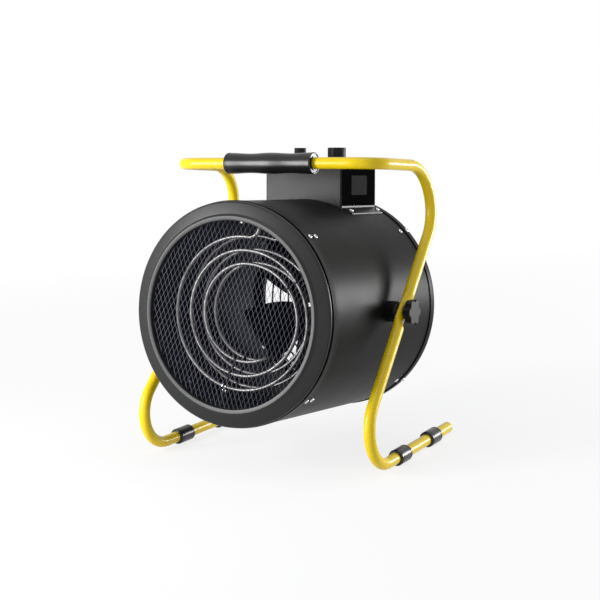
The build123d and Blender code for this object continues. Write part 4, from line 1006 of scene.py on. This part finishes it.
# Each plate: name, top, bottom, front, rear, thickness, gap to the box, and finish.
SIDE_PLATES = (
    # A near black sheet over most of the box's right side, which paints shade there.
    ("side_plate", 0.2452, 0.1690, 0.2365, 0.3535, 0.0008, 0.0001, painted_shade_paint),
    ("bare_plate", 0.2200, 0.1870, 0.2670, 0.3220, 0.0004, 0.0010, plate_film),
)


class HEATER_OT_control_box(bpy.types.Operator):
    """Control box, the two plates on its side (one of them a sheet of painted shade), its gland and the
    controls inside it
    """

    bl_idname = "heater.control_box"
    bl_label = "Control box"

    def execute(self, context):
        dressed(box_paint(), "control_box", "control_panel")
        dressed(matt_moulding(), "cable_gland", "gland_locknut", "room_thermostat", "selector_switch",
                "thermal_cutout")
        dressed(ceramic_white(), "terminal_block")
        dressed(soft_rubber(), "wire_grommet")
        for plate in SIDE_PLATES:
            self.add_plate(*plate)
        return {"FINISHED"}

    def add_plate(self, name, high, low, front, rear, thickness, gap, finish):
        """A plate with round corners on the box's right side: the sheet of painted shade, or the bare
        plate.
        """
        bm = bmesh.new()
        corners = [(depth, height, PLATE_CORNER)
                   for depth, height in ((front, low), (rear, low), (rear, high), (front, high))]
        verts = [bm.verts.new((0, point.x - PIVOT_DEPTH, point.y)) for point in rounded(corners, 4)]
        grown = bmesh.ops.extrude_face_region(bm, geom=[bm.faces.new(verts)])["geom"]
        lifted = [part for part in grown if isinstance(part, bmesh.types.BMVert)]
        bmesh.ops.translate(bm, vec=(thickness, 0, 0), verts=lifted)
        bmesh.ops.recalc_face_normals(bm, faces=bm.faces)
        softened(bm, thickness * 0.4, 1, math.radians(60))
        moved(bm, DRUM @ Matrix.Translation((BOX_SIDE + gap, 0, 0)))
        finished(name, bm, "drum", finish())


class HEATER_OT_knobs(bpy.types.Operator):
    """Finishes of the two dials on the control box"""

    bl_idname = "heater.knobs"
    bl_label = "Control knobs"

    def execute(self, context):
        dressed(matt_moulding(), "thermostat_knob", "selector_knob")
        dressed(zinc_plate(), "thermostat_spindle", "selector_spindle")
        return {"FINISHED"}


class HEATER_OT_clamps(bpy.types.Operator):
    """Finishes of the clamp knobs, studs, bosses and washers at the pivot"""

    bl_idname = "heater.clamps"
    bl_label = "Clamps"

    def execute(self, context):
        dressed(matt_moulding(), "clamp_knob_right", "clamp_knob_left")
        dressed(zinc_plate(), "clamp_stud_right", "clamp_stud_left")
        dressed(casing_paint(), "pivot_bosses")
        dressed(soft_rubber(), "friction_washers")
        return {"FINISHED"}


class HEATER_OT_screws(bpy.types.Operator):
    """Finish of the screws in the casing, the rings and the liner"""

    bl_idname = "heater.screws"
    bl_label = "Screws"

    def execute(self, context):
        dressed(zinc_plate(), "casing_screws", "box_screws", "liner_screws")
        return {"FINISHED"}


# ------------------------------------------------------------------ stage
# Each lamp: name, place, width, height and watts.
LAMPS = (
    ("key", (-0.94, -1.31, 0.61), 0.56, 1.00, 34),
    ("top", (0.2, -0.2, 3.0), 1.8, 1.8, 13),
    ("side", (1.60, 1.95, 0.32), 1.00, 0.50, 50),
)
LAMP_AIM = (0, 0, 0.25)
SENSOR_WIDTH = 36
FLOOR_HALF_WIDTH = 6
# How white the floor looks at its middle, and how far out it is all white.
NEAR_WHITE = 0.78
WHITE_FROM = 2.4
WHITE = (1, 1, 1, 1)
SKY_COLOUR = (0.9, 0.92, 0.95, 1)
SKY_STRENGTH = 0.45


def seen_directly(tree):
    """1 for rays from the camera, mirrors and glass, 0 for the light that falls on things."""
    path = tree.nodes.new("ShaderNodeLightPath")
    either = maths(tree, "MAXIMUM", path.outputs["Is Camera Ray"], path.outputs["Is Glossy Ray"])
    return maths(tree, "MAXIMUM", either, path.outputs["Is Transmission Ray"])


class HEATER_OT_stage(bpy.types.Operator):
    """Pale floor, soft lamps and the camera"""

    bl_idname = "heater.stage"
    bl_label = "Stage"

    def execute(self, context):
        scene = context.scene
        scene.view_settings.view_transform = "Standard"
        self.add_camera(scene)
        self.add_floor(scene)
        self.add_world(scene)
        for lamp in LAMPS:
            self.add_lamp(*lamp)
        return {"FINISHED"}

    def add_camera(self, scene):
        stage = scene.heater_stage
        camera = bpy.data.cameras.new("camera")
        camera.lens = stage.lens
        camera.sensor_width = SENSOR_WIDTH
        view = bpy.data.objects.new("camera", camera)
        scene.collection.objects.link(view)
        facing = (Matrix.Rotation(stage.azimuth, 4, "Z")
                  @ Matrix.Rotation(math.pi / 2 - stage.drop, 4, "X")
                  @ Matrix.Rotation(stage.roll, 4, "Z"))
        view.matrix_world = Matrix.Translation(stage.place) @ facing
        scene.camera = view

    def add_floor(self, scene):
        bm = bmesh.new()
        bmesh.ops.create_grid(bm, x_segments=1, y_segments=1, size=FLOOR_HALF_WIDTH)
        mesh = bpy.data.meshes.new("floor")
        bm.to_mesh(mesh)
        bm.free()
        floor = bpy.data.objects.new("floor", mesh)
        scene.collection.objects.link(floor)
        mesh.materials.append(self.paper(scene))

    def paper(self, scene):
        """Paper that catches the shadow and fades to plain white further off."""
        material = bpy.data.materials.new("paper floor")
        material.use_nodes = True
        tree = material.node_tree
        tree.nodes.remove(tree.nodes["Principled BSDF"])
        lit = tree.nodes.new("ShaderNodeBsdfDiffuse")
        lit.inputs["Color"].default_value = (*scene.heater_stage.paper, 1)
        white = tree.nodes.new("ShaderNodeEmission")
        white.inputs["Color"].default_value = WHITE
        white.inputs["Strength"].default_value = 1.0
        place = tree.nodes.new("ShaderNodeTexCoord")
        distance = tree.nodes.new("ShaderNodeVectorMath")
        distance.operation = "LENGTH"
        tree.links.new(place.outputs["Object"], distance.inputs[0])
        share = maths(tree, "DIVIDE", distance.outputs["Value"], WHITE_FROM)
        fade = spread(tree, share, NEAR_WHITE, 1.0)
        choice = tree.nodes.new("ShaderNodeMixShader")
        tree.links.new(maths(tree, "MULTIPLY", fade, seen_directly(tree)), choice.inputs["Fac"])
        tree.links.new(lit.outputs["BSDF"], choice.inputs[1])
        tree.links.new(white.outputs["Emission"], choice.inputs[2])
        tree.links.new(choice.outputs["Shader"], tree.nodes["Material Output"].inputs["Surface"])
        return material

    def add_world(self, scene):
        world = bpy.data.worlds.new("studio")
        world.use_nodes = True
        scene.world = world
        tree = world.node_tree
        light = tree.nodes["Background"]
        light.inputs["Color"].default_value = SKY_COLOUR
        light.inputs["Strength"].default_value = SKY_STRENGTH
        seen = tree.nodes.new("ShaderNodeBackground")
        seen.inputs["Color"].default_value = WHITE
        seen.inputs["Strength"].default_value = 1.0
        choice = tree.nodes.new("ShaderNodeMixShader")
        tree.links.new(seen_directly(tree), choice.inputs["Fac"])
        tree.links.new(light.outputs["Background"], choice.inputs[1])
        tree.links.new(seen.outputs["Background"], choice.inputs[2])
        tree.links.new(choice.outputs["Shader"], tree.nodes["World Output"].inputs["Surface"])

    def add_lamp(self, name, place, wide, high, watts):
        lamp = bpy.data.lights.new(name, "AREA")
        lamp.shape = "RECTANGLE"
        lamp.size, lamp.size_y = wide, high
        lamp.energy = watts
        rig = bpy.data.objects.new(name, lamp)
        bpy.context.scene.collection.objects.link(rig)
        rig.visible_camera = False
        facing = (Vector(LAMP_AIM) - Vector(place)).to_track_quat("-Z", "Y")
        rig.matrix_world = Matrix.Translation(place) @ facing.to_matrix().to_4x4()


# ------------------------------------------------------------------ panel and registration
OPERATORS = (
    HEATER_OT_stand_tube, HEATER_OT_grip, HEATER_OT_feet, HEATER_OT_drum_shell, HEATER_OT_grille,
    HEATER_OT_element, HEATER_OT_fan, HEATER_OT_rear_guard, HEATER_OT_control_box, HEATER_OT_knobs,
    HEATER_OT_clamps, HEATER_OT_screws, HEATER_OT_stage,
)


class HEATER_PT_panel(bpy.types.Panel):
    """Sizes, colours and one button for each group of pieces"""

    bl_idname = "HEATER_PT_panel"
    bl_label = "Forced Air Heater"
    bl_space_type = "VIEW_3D"
    bl_region_type = "UI"
    bl_category = "Heater"

    def draw(self, context):
        for group in SETTINGS:
            settings = getattr(context.scene, group)
            box = self.layout.box()
            for name in settings.bl_rna.properties.keys():
                if name not in ("rna_type", "name"):
                    box.prop(settings, name)
        for operator in OPERATORS:
            self.layout.operator(operator.bl_idname)


SETTINGS = {"heater_sizes": HeaterSizes, "heater_colours": HeaterColours, "heater_stage": StageSettings}


def register():
    for kind in (*SETTINGS.values(), *OPERATORS, HEATER_PT_panel):
        bpy.utils.register_class(kind)
    for name, kind in SETTINGS.items():
        setattr(bpy.types.Scene, name, bpy.props.PointerProperty(type=kind))


def unregister():
    for name in SETTINGS:
        delattr(bpy.types.Scene, name)
    for kind in reversed((*SETTINGS.values(), *OPERATORS, HEATER_PT_panel)):
        bpy.utils.unregister_class(kind)


def main():
    register()
    for operator in OPERATORS:
        category, name = operator.bl_idname.split(".")
        getattr(getattr(bpy.ops, category), name)()


if __name__ == "__main__":
    main()
